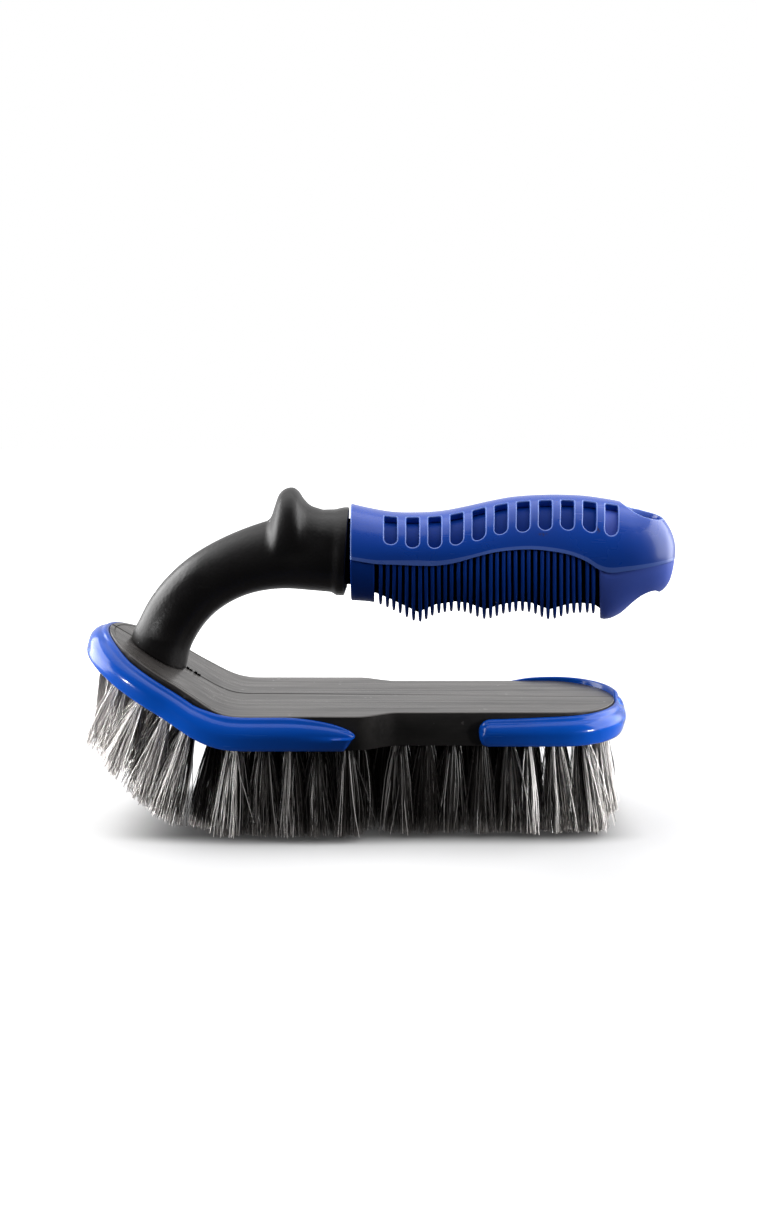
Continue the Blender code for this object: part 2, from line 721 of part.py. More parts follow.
def grip_cover(material):
    """The glossy upper shell with its two rows of slots and the mouth of the hanging hole."""
    cover = grip_solid("grip_cover", 0, 0, GRIP_START, GRIP_END, 20, material)
    inside = grip_solid("inside", COVER_WALL, COVER_WALL, GRIP_START - OVERRUN, GRIP_END - COVER_WALL, 20)
    combine(cover, inside, "DIFFERENCE")
    combine(cover, below_parting("lower_half", 0), "DIFFERENCE")
    combine(cover, slots(), "DIFFERENCE")
    combine(cover, hanging_hole(0), "DIFFERENCE")
    simplify(cover)
    shade(cover, 38)
    return cover


def core_insets():
    """How far the core lies inside the grip's skin, above and below the axis."""
    return COVER_WALL + GAP + SLEEVE_WALL + GAP, CORE_DEPTH + GAP


def rib_bay():
    """Cutter for the open bay between the two end blocks, up to just under the cover's edge."""
    floor = AXIS_HEIGHT - GRIP_DEPTH - OVERRUN
    steps = 18
    line = [FRONT_BLOCK + (END_BLOCK - FRONT_BLOCK) * i / steps for i in range(steps + 1)]
    outline = [(x, parting(x) - RIB_ROOT) for x in line] + [(END_BLOCK, floor), (FRONT_BLOCK, floor)]
    return side_prisms("rib_bay", [outline], [(-GRIP_HALF - OVERRUN, GRIP_HALF + OVERRUN)])


def rib_curve(x, top_inset, bottom_inset, flats_clear=False, points=8):
    """One edge of a rib's side: from the cover's edge, down round the bottom and up again.

    With flats_clear its flats, rather than its corners, lie on the inset curve.
    """
    rise = parting(x) - GAP - AXIS_HEIGHT
    wide = grip_half(x) - bottom_inset
    upper, lower = grip_top(x) - top_inset, grip_bottom(x) - bottom_inset
    reach = math.pi / 2 + math.asin(rise / (upper if rise > 0 else lower))
    growth = 1 / math.cos(reach / (points - 1)) if flats_clear else 1
    curve = []
    for i in range(points):
        angle = -math.pi / 2 - reach + 2 * reach * i / (points - 1)
        tall = upper if math.sin(angle) > 0 else lower
        curve.append((wide * growth * math.cos(angle), AXIS_HEIGHT + tall * growth * math.sin(angle)))
    return curve


def ribs():
    """The comb under the grip: thin ribs, each a little narrower towards its tip."""
    pitch = (RIB_LAST - RIB_FIRST) / (RIB_COUNT - 1)
    top_inset, bottom_inset = (value - GAP * 1.5 for value in core_insets())
    bm = bmesh.new()
    for i in range(RIB_COUNT):
        x = RIB_FIRST + pitch * i
        outer = rib_curve(x, BLOCK_INSET, BLOCK_INSET)
        inner = rib_curve(x, top_inset, bottom_inset, True)
        tip = RIB_WIDTH / 2 - RIB_TAPER
        sides = []
        for sign in (-1, 1):
            sides.append([bm.verts.new((x + sign * tip, y, z)) for y, z in outer])
            sides.append([bm.verts.new((x + sign * RIB_WIDTH / 2, y, z)) for y, z in inner])
        loop = [sides[0], sides[1], sides[3], sides[2]]
        for one, two in zip(loop, loop[1:] + loop[:1]):
            for k in range(len(outer) - 1):
                bm.faces.new((one[k], one[k + 1], two[k + 1], two[k]))
        for k in (0, len(outer) - 1):
            bm.faces.new([edge[k] for edge in loop])
    bmesh.ops.triangulate(bm, faces=bm.faces)
    return to_object(bm, "ribs")


def end_region(growth):
    """Cutter round the end block: everything behind its face, and behind the sleeve's lap above it."""
    shoulder = parting(END_BLOCK) - RIB_ROOT + growth
    face, lap = END_BLOCK - growth, END_BLOCK + END_LAP - growth
    back = GRIP_END + OVERRUN
    low, high = AXIS_HEIGHT - GRIP_DEPTH - OVERRUN, AXIS_HEIGHT + GRIP_CROWN + OVERRUN
    outline = [(face, low), (face, shoulder), (lap, shoulder), (lap, high), (back, high), (back, low)]
    return side_prisms("end_region", [outline], [(-GRIP_HALF - OVERRUN, GRIP_HALF + OVERRUN)])


def copy_of(item, name):
    twin = item.copy()
    twin.data = item.data.copy()
    twin.name = name
    bpy.context.scene.collection.objects.link(twin)
    return twin


def grip_sleeve(material):
    """The dull blue body under the cover: slot floors and ribs, and the block that closes its end."""
    inset = COVER_WALL + GAP
    sleeve = grip_solid("grip_sleeve", inset, inset, GRIP_START, GRIP_END - inset, 20, material)
    lower = grip_solid("lower", BLOCK_INSET, BLOCK_INSET, GRIP_START, GRIP_END, 16)
    combine(lower, below_parting("under_cover", GAP), "INTERSECT")
    combine(sleeve, lower, "UNION")
    top_inset, bottom_inset = (value - GAP for value in core_insets())
    bore = grip_solid("bore", top_inset, bottom_inset, GRIP_START - OVERRUN, CORE_END + GAP, 12)
    combine(sleeve, bore, "DIFFERENCE")
    combine(sleeve, rib_bay(), "DIFFERENCE")
    end_block = copy_of(sleeve, "end_block")
    combine(end_block, end_region(0), "INTERSECT")
    combine(end_block, hanging_hole(0), "DIFFERENCE")
    combine(sleeve, end_region(GAP), "DIFFERENCE")
    combine(sleeve, ribs(), "UNION")
    for item in (sleeve, end_block):
        simplify(item)
        shade(item, 38)
    return [sleeve, end_block]


def handle_core(material):
    """The black bar inside the grip, with the collar that runs into the neck."""
    top_inset, bottom_inset = core_insets()
    core = grip_solid("handle_core", top_inset, bottom_inset, GRIP_START + GAP, CORE_END, 12, material)
    collar = rod("collar", SOCKET_X - SPIGOT_DEPTH, GRIP_START + COLLAR_ROOT, COLLAR_RADIUS, 24)
    combine(core, collar, "UNION")
    shade(core, 38)
    return core


# Bristles

def field_limits():
    """Where one slice of the backing ends and the next begins: first between the two screws."""
    rest = FIELD_COUNT - 1
    return [-NOSE_REACH] + [-FOOT_PLACE + (TAIL_REACH + FOOT_PLACE) * i / rest for i in range(rest + 1)]


def backing_slice(index, material):
    """One crosswise slice of the plate that the tufts are set in, still flat."""
    low, high = field_limits()[index:index + 2]
    item = prism(f"bristle_field_{index + 1:02d}", plan(-SKIRT - GAP), underside(), underside() + BACKING, material)
    bm = bmesh.new()
    bm.from_mesh(item.data)
    for place, direction in ((low + GAP / 2, -1), (high - GAP / 2, 1)):
        geometry = bm.verts[:] + bm.edges[:] + bm.faces[:]
        bmesh.ops.bisect_plane(bm, geom=geometry, plane_co=(place, 0, 0), plane_no=(direction, 0, 0),
                               clear_outer=True)
        bmesh.ops.holes_fill(bm, edges=[edge for edge in bm.edges if edge.is_boundary])
    bmesh.ops.recalc_face_normals(bm, faces=bm.faces)
    bm.to_mesh(item.data)
    bm.free()
    return item


def inset_half(x, inset):
    """Half width at a place along the plate, between outlines drawn in by an inset."""
    line = [point for point, outward in side_line(plan_places(), -inset)]
    for one, two in zip(line, line[1:]):
        if one.x <= x <= two.x:
            return one.y + (two.y - one.y) * (x - one.x) / (two.x - one.x)
    return 0


def tuft_stations():
    """Places of the crosswise rows of tufts, as many in each slice as the pitch gives it."""
    first, last = TUFT_EDGE * TUFT_END_SHARE - NOSE_REACH, TAIL_REACH - TUFT_EDGE * TUFT_END_SHARE
    limits = field_limits()
    stations = []
    for low, high in zip(limits, limits[1:]):
        count = max(round((high - low) / TUFT_PITCH), 1)
        stations += [low + (high - low) * (i + 0.5) / count for i in range(count)]
    return [min(max(x, first), last) for x in stations]


def tuft_places():
    """Centres of the tufts on the flat underside, keeping clear of the two screws."""
    places = []
    for x in tuft_stations():
        half = inset_half(x, TUFT_EDGE)
        rows = max(int(2 * half / TUFT_ROW), 1)
        for row in range(rows + 1):
            y = -half + 2 * half * row / rows
            clear = SCREW_HEAD_RADIUS + TUFT_BASE + STRAND_BASE * 2
            if all(math.hypot(x - place, y) > clear for place in screw_places()):
                places.append((x, y))
    return places


def trim_height(x):
    """Height of the trimmed tips above the surface that the brush stands on."""
    past, beyond = max(-TRIM_START - x, 0), max(x - TAIL_TRIM_START, 0)
    return past * past / (2 * TRIM_RADIUS) + beyond * beyond / (2 * TAIL_TRIM_RADIUS)


def strand_direction(x, y):
    """Which way a tuft points, from its place on the flat underside."""
    past = max(-BEND_START - x, 0)
    nose = min(past / BEND_RADIUS, NOSE_ANGLE) * NOSE_LEAN_SHARE
    tail = TAIL_FLARE * step(x, TAIL_REACH - TAIL_FLARE_LENGTH, TAIL_FLARE_LENGTH)
    side = SIDE_FLARE * y / WIDE_HALF
    return Vector((math.tan(tail) - math.tan(nose), math.tan(side), -1)).normalized()


def trimmed(start, direction):
    """The point where a strand from start meets the trim surface."""
    length = start.z / -direction.z
    for _ in range(12):
        point = start + direction * length
        length -= (trim_height(point.x) - point.z) / -direction.z
    return start + direction * length


def add_strand(bm, root, tip, turn):
    """A three-sided strand with a flat, level tip."""
    loops = []
    for centre, radius in ((root, STRAND_BASE), (tip, STRAND_TIP)):
        angles = [turn + math.tau * k / 3 for k in range(3)]
        loops.append([bm.verts.new((centre.x + radius * math.cos(a), centre.y + radius * math.sin(a), centre.z))
                      for a in angles])
    one, two = loops
    for k in range(3):
        bm.faces.new((one[k], one[(k + 1) % 3], two[(k + 1) % 3], two[k]))
    bm.faces.new(one)
    bm.faces.new(two)


def bristle_field(index, material):
    """A slice of the backing with its tufts, each a fan of strands that never cross."""
    low, high = field_limits()[index:index + 2]
    item = backing_slice(index, material)
    for place in screw_places():
        if low - SCREW_HEAD_RADIUS < place < high + SCREW_HEAD_RADIUS:
            hole = oval(place, SCREW_HEAD_RADIUS + GAP, SCREW_HEAD_RADIUS + GAP, 12)
            combine(item, prism("access", hole, underside() - OVERRUN, PLATE_TOP), "DIFFERENCE")
    bend(item, 4)
    bm = bmesh.new()
    count = 0
    for x, y in tuft_places():
        if not low <= x < high:
            continue
        direction = strand_direction(x, y)
        for k in range(STRANDS):
            angle = math.tau * (k + 0.5) / STRANDS
            off_x, off_y = math.cos(angle), math.sin(angle)
            root = bend_point(Vector((x + off_x * TUFT_BASE, y + off_y * TUFT_BASE, underside() + BACKING / 2)))
            middle = trimmed(bend_point(Vector((x, y, underside()))), direction)
            end = Vector((middle.x + off_x * TUFT_TIP, middle.y + off_y * TUFT_TIP, 0))
            end.z = trim_height(end.x)
            add_strand(bm, root, end, angle)
            count += 1
    combine(item, to_object(bm, "strands"), "UNION")
    return item, count


def stand_on_origin(items):
    """Move the brush so that the middle of its underside lies on the origin."""
    corners = [vert.co for item in items for vert in item.data.vertices]
    middle_x = (min(co.x for co in corners) + max(co.x for co in corners)) / 2
    middle_y = (min(co.y for co in corners) + max(co.y for co in corners)) / 2
    floor = min(co.z for co in corners)
    for item in items:
        for vert in item.data.vertices:
            vert.co -= Vector((middle_x, middle_y, floor))
    print("moved by", round(middle_x, 6), round(middle_y, 6), round(floor, 6))


def build():
    clear_scene()
    glossy_black = finish("glossy_black", (0.012, 0.011, 0.012), 0.22)
    satin_black = finish("satin_black", (0.010, 0.009, 0.010), 0.42)
    glossy_blue = finish("glossy_blue", (0.012, 0.045, 0.40), 0.18)
    dull_blue = finish("dull_blue", (0.012, 0.035, 0.22), 0.55)
    bumper_blue = finish("bumper_blue", (0.004, 0.050, 0.42), 0.20)
    steel = finish("zinc_steel", (0.55, 0.55, 0.56), 0.35)
    bristle = finish("bristle", (0.045, 0.040, 0.040), 0.45)

    items = [head_block(glossy_black), neck(satin_black), handle_core(satin_black)]
    items += grip_sleeve(dull_blue) + [grip_cover(glossy_blue)]
    items.append(bumper("front_bumper", front_path(), FRONT_BUMPER_TAPER, SLOPE_ROUND, 0, bumper_blue))
    items.append(bumper("rear_bumper", rear_path(), BUMPER_NOSE_TAPER, BUMPER_ROUND, BUMPER_LIP_FALL,
                        bumper_blue))
    for name, place in zip(("neck_screw_front", "neck_screw_rear"), screw_places()):
        items.append(screw(name, place, steel))
    strands = 0
    for index in range(FIELD_COUNT):
        field, count = bristle_field(index, bristle)
        items.append(field)
        strands += count
    print("strands", strands)
    stand_on_origin(items)


build()
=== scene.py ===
# %% [markdown]
# # An upholstery brush, dressed for its portrait
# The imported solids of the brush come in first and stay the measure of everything. Each visible
# part is then made again with more detail over its solid: the bent head, the arched neck, the two
# corner bumpers, the slotted cover, the ribbed sleeve and some twenty thousand filaments.

# %% Load the fixed frame
import math
from functools import partial
import bmesh
import bpy
import numpy as np
from mathutils import Matrix, Vector
from mathutils.kdtree import KDTree


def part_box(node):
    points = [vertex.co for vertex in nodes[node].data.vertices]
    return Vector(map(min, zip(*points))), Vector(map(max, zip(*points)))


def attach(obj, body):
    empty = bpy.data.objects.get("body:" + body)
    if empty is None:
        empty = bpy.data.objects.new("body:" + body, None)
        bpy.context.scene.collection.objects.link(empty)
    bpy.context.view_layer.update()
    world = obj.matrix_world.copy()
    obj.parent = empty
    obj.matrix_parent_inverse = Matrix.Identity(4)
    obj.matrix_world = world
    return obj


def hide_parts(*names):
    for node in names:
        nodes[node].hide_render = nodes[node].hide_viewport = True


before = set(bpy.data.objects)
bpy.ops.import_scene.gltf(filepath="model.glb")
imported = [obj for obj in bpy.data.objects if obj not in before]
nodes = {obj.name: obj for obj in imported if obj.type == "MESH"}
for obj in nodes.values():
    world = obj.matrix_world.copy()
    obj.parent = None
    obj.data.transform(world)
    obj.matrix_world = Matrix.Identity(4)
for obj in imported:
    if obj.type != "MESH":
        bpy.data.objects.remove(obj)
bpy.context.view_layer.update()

print("CAD nodes:", len(nodes))

# %% [markdown]
# The brush is drawn about a reference plane across it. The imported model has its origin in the
# middle of its box instead, so every finished piece is shifted along X by the same small step,
# which is read off one known end: the tip of the grip.

# %% Reference sizes, in metres
GRIP_START, GRIP_END = -0.0094, 0.1022
AXIS = 0.0942
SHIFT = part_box("grip_cover")[1].x - GRIP_END
PLATE_TOP, THICK = 0.0429, 0.0115
BEND_START, NOSE_ANGLE = 0.0457, math.radians(32)
print("shift along X, mm:", round(SHIFT * 1000, 3))

# %% [markdown]
# Operators act on whatever is selected, so each piece starts from an empty selection. These few
# helpers do what a hand does between steps: let go of everything, take one piece, and tidy it.

# %% Helpers for picking pieces up and putting them down
def let_go():
    if bpy.context.object and bpy.context.object.mode != "OBJECT":
        bpy.ops.object.mode_set(mode="OBJECT")
    bpy.ops.object.select_all(action="DESELECT")


def take(piece):
    let_go()
    piece.select_set(True)
    bpy.context.view_layer.objects.active = piece


def join(piece, *others):
    take(piece)
    for other in others:
        other.select_set(True)
    bpy.ops.object.join()
    return piece


def name_it(name):
    piece = bpy.context.object
    piece.name = name
    piece.data.name = name
    return piece


def settle():
    bpy.ops.object.transform_apply(location=True, rotation=True, scale=True)


def hang_in(piece):
    bpy.context.scene.collection.objects.link(piece)
    return piece


def edit(piece):
    take(piece)
    bpy.ops.object.mode_set(mode="EDIT")
    bpy.ops.mesh.select_mode(type="VERT")
    bpy.ops.mesh.select_all(action="SELECT")


def done():
    bpy.ops.object.mode_set(mode="OBJECT")


def outward():
    """In edit mode: turn all faces outwards and leave."""
    bpy.ops.mesh.select_all(action="SELECT")
    bpy.ops.mesh.normals_make_consistent(inside=False)
    done()


def bevel(offset, segments):
    bpy.ops.mesh.bevel(offset=offset, offset_type="OFFSET", segments=segments, profile=0.5, affect="EDGES")


def points(piece):
    co = np.zeros(len(piece.data.vertices) * 3)
    piece.data.vertices.foreach_get("co", co)
    return co.reshape(-1, 3)


def place_points(piece, co):
    piece.data.vertices.foreach_set("co", np.asarray(co, float).ravel())
    piece.data.update()


def smooth_by(piece, degrees):
    take(piece)
    bpy.ops.object.shade_smooth_by_angle(angle=math.radians(degrees))


def pick(piece, kind, test):
    """In edit mode: select only the edges or faces that pass a test of their points."""
    bpy.ops.mesh.select_mode(type=kind)
    bpy.ops.mesh.select_all(action="DESELECT")
    bm = bmesh.from_edit_mesh(piece.data)
    parts = bm.edges if kind == "EDGE" else bm.faces
    for part in parts:
        part.select = bool(test(part))
    bm.select_flush_mode()
    bmesh.update_edit_mesh(piece.data)


# %% [markdown]
# Most parts of the brush are skins that run along a line: a tube that bends, a strip that wraps a
# corner. A flat grid has its cells in neat rows, so it can be rolled up and laid ring by ring onto
# any such form. The seam is then merged and the ends are closed.

# %% Roll a flat grid onto rings of points
def rolled(name, rings):
    rings = np.asarray(rings, float)
    along, across = rings.shape[:2]
    let_go()
    bpy.ops.mesh.primitive_grid_add(x_subdivisions=across, y_subdivisions=along - 1, size=1)
    piece = name_it(name)
    flat = points(piece)
    order = np.lexsort((flat[:, 0].round(6), flat[:, 1].round(6)))
    laid = np.zeros_like(flat)
    laid[order] = np.concatenate([rings, rings[:, :1]], axis=1).reshape(-1, 3)
    place_points(piece, laid)
    edit(piece)
    bpy.ops.mesh.remove_doubles(threshold=1e-7)
    bpy.ops.mesh.select_all(action="DESELECT")
    bpy.ops.mesh.select_non_manifold(extend=False, use_wire=False, use_multi_face=False,
                                     use_non_contiguous=False, use_verts=False)
    bpy.ops.mesh.fill_holes(sides=0)
    outward()
    return piece


# %% [markdown]
# The outlines were measured on the real brush at a few places. A smooth curve through these
# places gives the outline anywhere between them.

# %% Read a smooth curve from a short table
def curve(table, place):
    """Value of a table at one place or many, on a smooth curve through its points."""
    xs, ys = (np.array(v, float) for v in zip(*table))
    slopes = np.empty_like(ys)
    slopes[1:-1] = (ys[2:] - ys[:-2]) / (xs[2:] - xs[:-2])
    slopes[0] = (ys[1] - ys[0]) / (xs[1] - xs[0])
    slopes[-1] = (ys[-1] - ys[-2]) / (xs[-1] - xs[-2])
    x = np.clip(np.asarray(place, float), xs[0], xs[-1])
    i = np.clip(np.searchsorted(xs, x, side="right") - 1, 0, len(xs) - 2)
    span = xs[i + 1] - xs[i]
    t = (x - xs[i]) / span
    rise = ys[i + 1] - ys[i]
    bow0, bow1 = slopes[i] * span - rise, rise - slopes[i + 1] * span
    return ys[i] + rise * t + t * (1 - t) * (bow0 * (1 - t) + bow1 * t)


def ease(value, start, length):
    t = np.clip((np.asarray(value, float) - start) / length, 0, 1)
    return t * t * (3 - 2 * t)


# %% [markdown]
# Every finish is a shader tree. Two effects return on most plastics, so each is built once as a
# node group: a fine moulded grain with soft unevenness, and specks of dust with faint scratches.

# %% Small helpers for shader trees
def is_socket(value):
    return isinstance(value, bpy.types.NodeSocket)


def feed(made, ins):
    """Fill a node's inputs, each with a link from a socket or with a plain value."""
    for key, value in ins.items():
        if is_socket(value):
            made.id_data.links.new(value, made.inputs[key])
        else:
            made.inputs[key].default_value = value


def node(kind, ins, tree=None, **settings):
    """Add a node to the tree of the sockets that it reads, or to a given tree."""
    tree = tree or next(value.id_data for value in ins.values() if is_socket(value))
    made = tree.nodes.new("ShaderNode" + kind)
    for key, value in settings.items():
        setattr(made, key, value)
    feed(made, ins)
    return made


def source(tree, kind, **settings):
    """The outputs of a node that reads nothing."""
    return node(kind, {}, tree, **settings).outputs


def maths(operation, *ins):
    return node("Math", dict(enumerate(ins)), operation=operation).outputs[0]


plus, minus, times = partial(maths, "ADD"), partial(maths, "SUBTRACT"), partial(maths, "MULTIPLY")


def vector(operation, *ins):
    made = node("VectorMath", dict(enumerate(ins)), operation=operation)
    return made.outputs["Value" if operation == "LENGTH" else "Vector"]


def axes(place):
    return node("SeparateXYZ", {0: place}).outputs


def noise(place, scale, detail=3, rough=0.5, stretch=None):
    """Soft noise, drawn out along one axis if a stretch is given."""
    if stretch:
        place = node("Mapping", {"Vector": place, "Scale": stretch}).outputs[0]
    ins = {"Vector": place, "Scale": scale, "Detail": detail, "Roughness": rough}
    return node("TexNoise", ins).outputs["Fac"]


def ranged(value, a, b, c, d, kind="SMOOTHSTEP"):
    """Carry values from a..b to c..d, and hold them there beyond."""
    ins = {"Value": value, "From Min": a, "From Max": b, "To Min": c, "To Max": d}
    return node("MapRange", ins, interpolation_type=kind).outputs["Result"]


def band(value, middle, full, none):
    """1 close to the middle, and softly down to 0 further off."""
    return ranged(maths("ABSOLUTE", minus(value, middle)), full, none, 1, 0)


def mixed(factor, one, two):
    """Mix two colours; each is a socket or a plain colour."""
    one, two = (v if is_socket(v) else (*v, 1) for v in (one, two))
    return node("Mix", {0: factor, 6: one, 7: two}, data_type="RGBA").outputs[2]


def effect(name, ins, outs):
    """A node group that reads a place and some values, with its sockets for reading and putting out."""
    group = bpy.data.node_groups.new(name, "ShaderNodeTree")
    for key, default in {"Vector": (0, 0, 0), **ins}.items():
        kind = "NodeSocketVector" if key == "Vector" else "NodeSocketFloat"
        group.interface.new_socket(name=key, in_out="INPUT", socket_type=kind).default_value = default
    for key in outs:
        group.interface.new_socket(name=key, in_out="OUTPUT", socket_type="NodeSocketFloat")
    return group, group.nodes.new("NodeGroupInput").outputs, group.nodes.new("NodeGroupOutput")


# %% The grain group: pebbled skin, and slow unevenness
GRAIN, given, shown = effect("moulded grain", {"Pebble Size": 900.0, "Unevenness": 40.0},
                             ("Height", "Unevenness"))
ins = {"Vector": given["Vector"], "Scale": given["Pebble Size"]}
pebble = node("TexVoronoi", ins, feature="SMOOTH_F1").outputs["Distance"]
wave = ranged(noise(given["Vector"], given["Unevenness"], 4), 0.3, 0.7, 0, 1)
height = plus(times(pebble, 0.5), wave)
feed(shown, {"Height": height, "Unevenness": wave})
print("grain nodes:", len(GRAIN.nodes))

# %% The dust group: sparse pale specks and faint lengthwise scratches
DUST, given, shown = effect("dust and scratches", {"Speck Size": 500.0, "Amount": 0.1},
                            ("Specks", "Scratches"))
ins = {"Vector": given["Vector"], "Scale": given["Speck Size"]}
cell = node("TexVoronoi", ins, feature="F1").outputs
size = node("SeparateColor", {"Color": cell["Color"]}).outputs
chosen = maths("LESS_THAN", size["Red"], given["Amount"])
inside = maths("LESS_THAN", cell["Distance"], times(size["Green"], 0.28))
scratch = ranged(noise(given["Vector"], 1, 2, stretch=(60, 1500, 900)), 0.62, 0.72, 0, 1)
feed(shown, {"Specks": times(inside, chosen), "Scratches": scratch})
print("dust nodes:", len(DUST.nodes))

# %% [markdown]
# Plastic is easy to overdo: the colour hardly changes, and it is the roughness and the tiny relief
# that tell satin from gloss. This helper lays the two shared effects over one base colour and
# leaves every even value on the shader itself.

# %% One plastic
def shader_of(material):
    """The tree of a material, its shader, and the colour that reaches it so far."""
    tree = material.node_tree
    shader = tree.nodes["Principled BSDF"]
    links = shader.inputs["Base Color"].links
    return tree, shader, links[0].from_socket if links else None


def plastic(name, colour, deep, roughness, grain, specks, coat=0.0, level=0.5):
    """A drifting colour, roughness (low, high), grain (size, height) and specks (size, amount)."""
    material = bpy.data.materials.new(name)
    material.use_nodes = True
    tree, shader, _ = shader_of(material)
    place = source(tree, "TexCoord")["Object"]
    skin = node("Group", {"Vector": place, "Pebble Size": grain[0]}, node_tree=GRAIN).outputs
    ins = {"Vector": place, "Speck Size": specks[0], "Amount": specks[1]}
    dirt = node("Group", ins, node_tree=DUST).outputs
    body = mixed(skin["Unevenness"], colour, deep)
    rough = ranged(skin["Unevenness"], 0, 1, *roughness)
    bump = node("Bump", {"Strength": 1.0, "Distance": grain[1], "Height": skin["Height"]})
    feed(shader, {
        "Base Color": mixed(times(dirt["Specks"], 0.55), body, (0.6, 0.6, 0.62)),
        "Roughness": plus(rough, times(dirt["Scratches"], 0.06)),
        "Normal": bump.outputs["Normal"],
        "Coat Weight": coat, "Coat Roughness": 0.06, "Specular IOR Level": level})
    return material


# %% The finishes of the brush
neck_black = plastic("satin black", (0.005, 0.0044, 0.0046), (0.007, 0.006, 0.0063), (0.28, 0.44),
                     (1000, 0.00009), (500, 0.006), level=0.42)
core_black = plastic("matt black", (0.005, 0.005, 0.005), (0.007, 0.006, 0.006), (0.65, 0.75),
                     (1300, 0.00003), (500, 0.0), level=0.0)
cover_blue = plastic("glossy blue", (0.003, 0.058, 0.41), (0.003, 0.050, 0.36), (0.24, 0.32),
                     (500, 0.00001), (620, 0.006), coat=0.15)
sleeve_blue = plastic("dull blue", (0.002, 0.040, 0.29), (0.002, 0.034, 0.25), (0.42, 0.52),
                      (1100, 0.00003), (620, 0.004), level=0.1)
# The end block is the dull sleeve blue made paler: painted light for its brightly lit end.
painted_lit_sleeve_blue = plastic("sleeve blue with painted light", (0.060, 0.118, 0.56), (0.052, 0.106, 0.51), (0.42, 0.52),
                   (1100, 0.00002), (620, 0.004), level=0.3)
bumper_blue = plastic("bumper blue", (0.001, 0.064, 0.40), (0.001, 0.056, 0.35), (0.18, 0.26),
                      (400, 0.00001), (700, 0.004), coat=0.24, level=0.24)
plate_black = plastic("glossy black", (0.010, 0.009, 0.009), (0.015, 0.013, 0.013), (0.24, 0.34),
                      (500, 0.00001), (620, 0.03))

# %% Two stains, and painted highlights on the rims of the cover
tree, shader, stained = shader_of(cover_blue)
place = source(tree, "TexCoord")["Object"]
torn = ranged(noise(place, 1400), 0.42, 0.62, 0, 1)
for centre, size in (((0.0553, 0, 0.1019), (0.0019, 9, 0.0008)), ((0.0735, 0, 0.1032), (0.0010, 9, 0.0016))):
    ins = {"Vector": place, "Location": centre, "Scale": size}
    reach = vector("LENGTH", node("Mapping", ins, vector_type="TEXTURE").outputs[0])
    blot = ranged(reach, 0.35, 1.1, 0.75, 0)
    stained = mixed(times(blot, torn), stained, (0.050, 0.034, 0.030))
# The rim attribute is a painted highlight: a pale blue mixed into the rims, strongest round the hole and on
# the lower edges.
rim = source(tree, "Attribute", attribute_name="rim")["Fac"]
feed(shader, {"Base Color": mixed(rim, stained, (0.30, 0.45, 0.95))})
print("finishes:", len(bpy.data.materials))

# %% [markdown]
# The plate shows how it was moulded: faint streaks run along it, and a fine parting seam wanders
# down its middle, with two torn scraps of flash close to the neck. The streaks are a noise that is
# stretched along the plate. The seam is the distance to a curve, which is read from a short table.
# A paler line beside the seam is a painted highlight. The side wall takes no part in the wear; it is
# duller than the top, and its colour is darkened as painted shade.

# %% Streaks, seam and flash on the plate, with a painted highlight and painted shade
SEAM = ((-0.0997, -0.0002), (-0.0800, 0.0006), (-0.0640, 0.0009), (-0.0530, 0.0024), (-0.0420, 0.0033),
        (0.0, 0.0018), (0.0290, 0.0006), (0.0600, -0.0006), (0.0823, -0.0010))


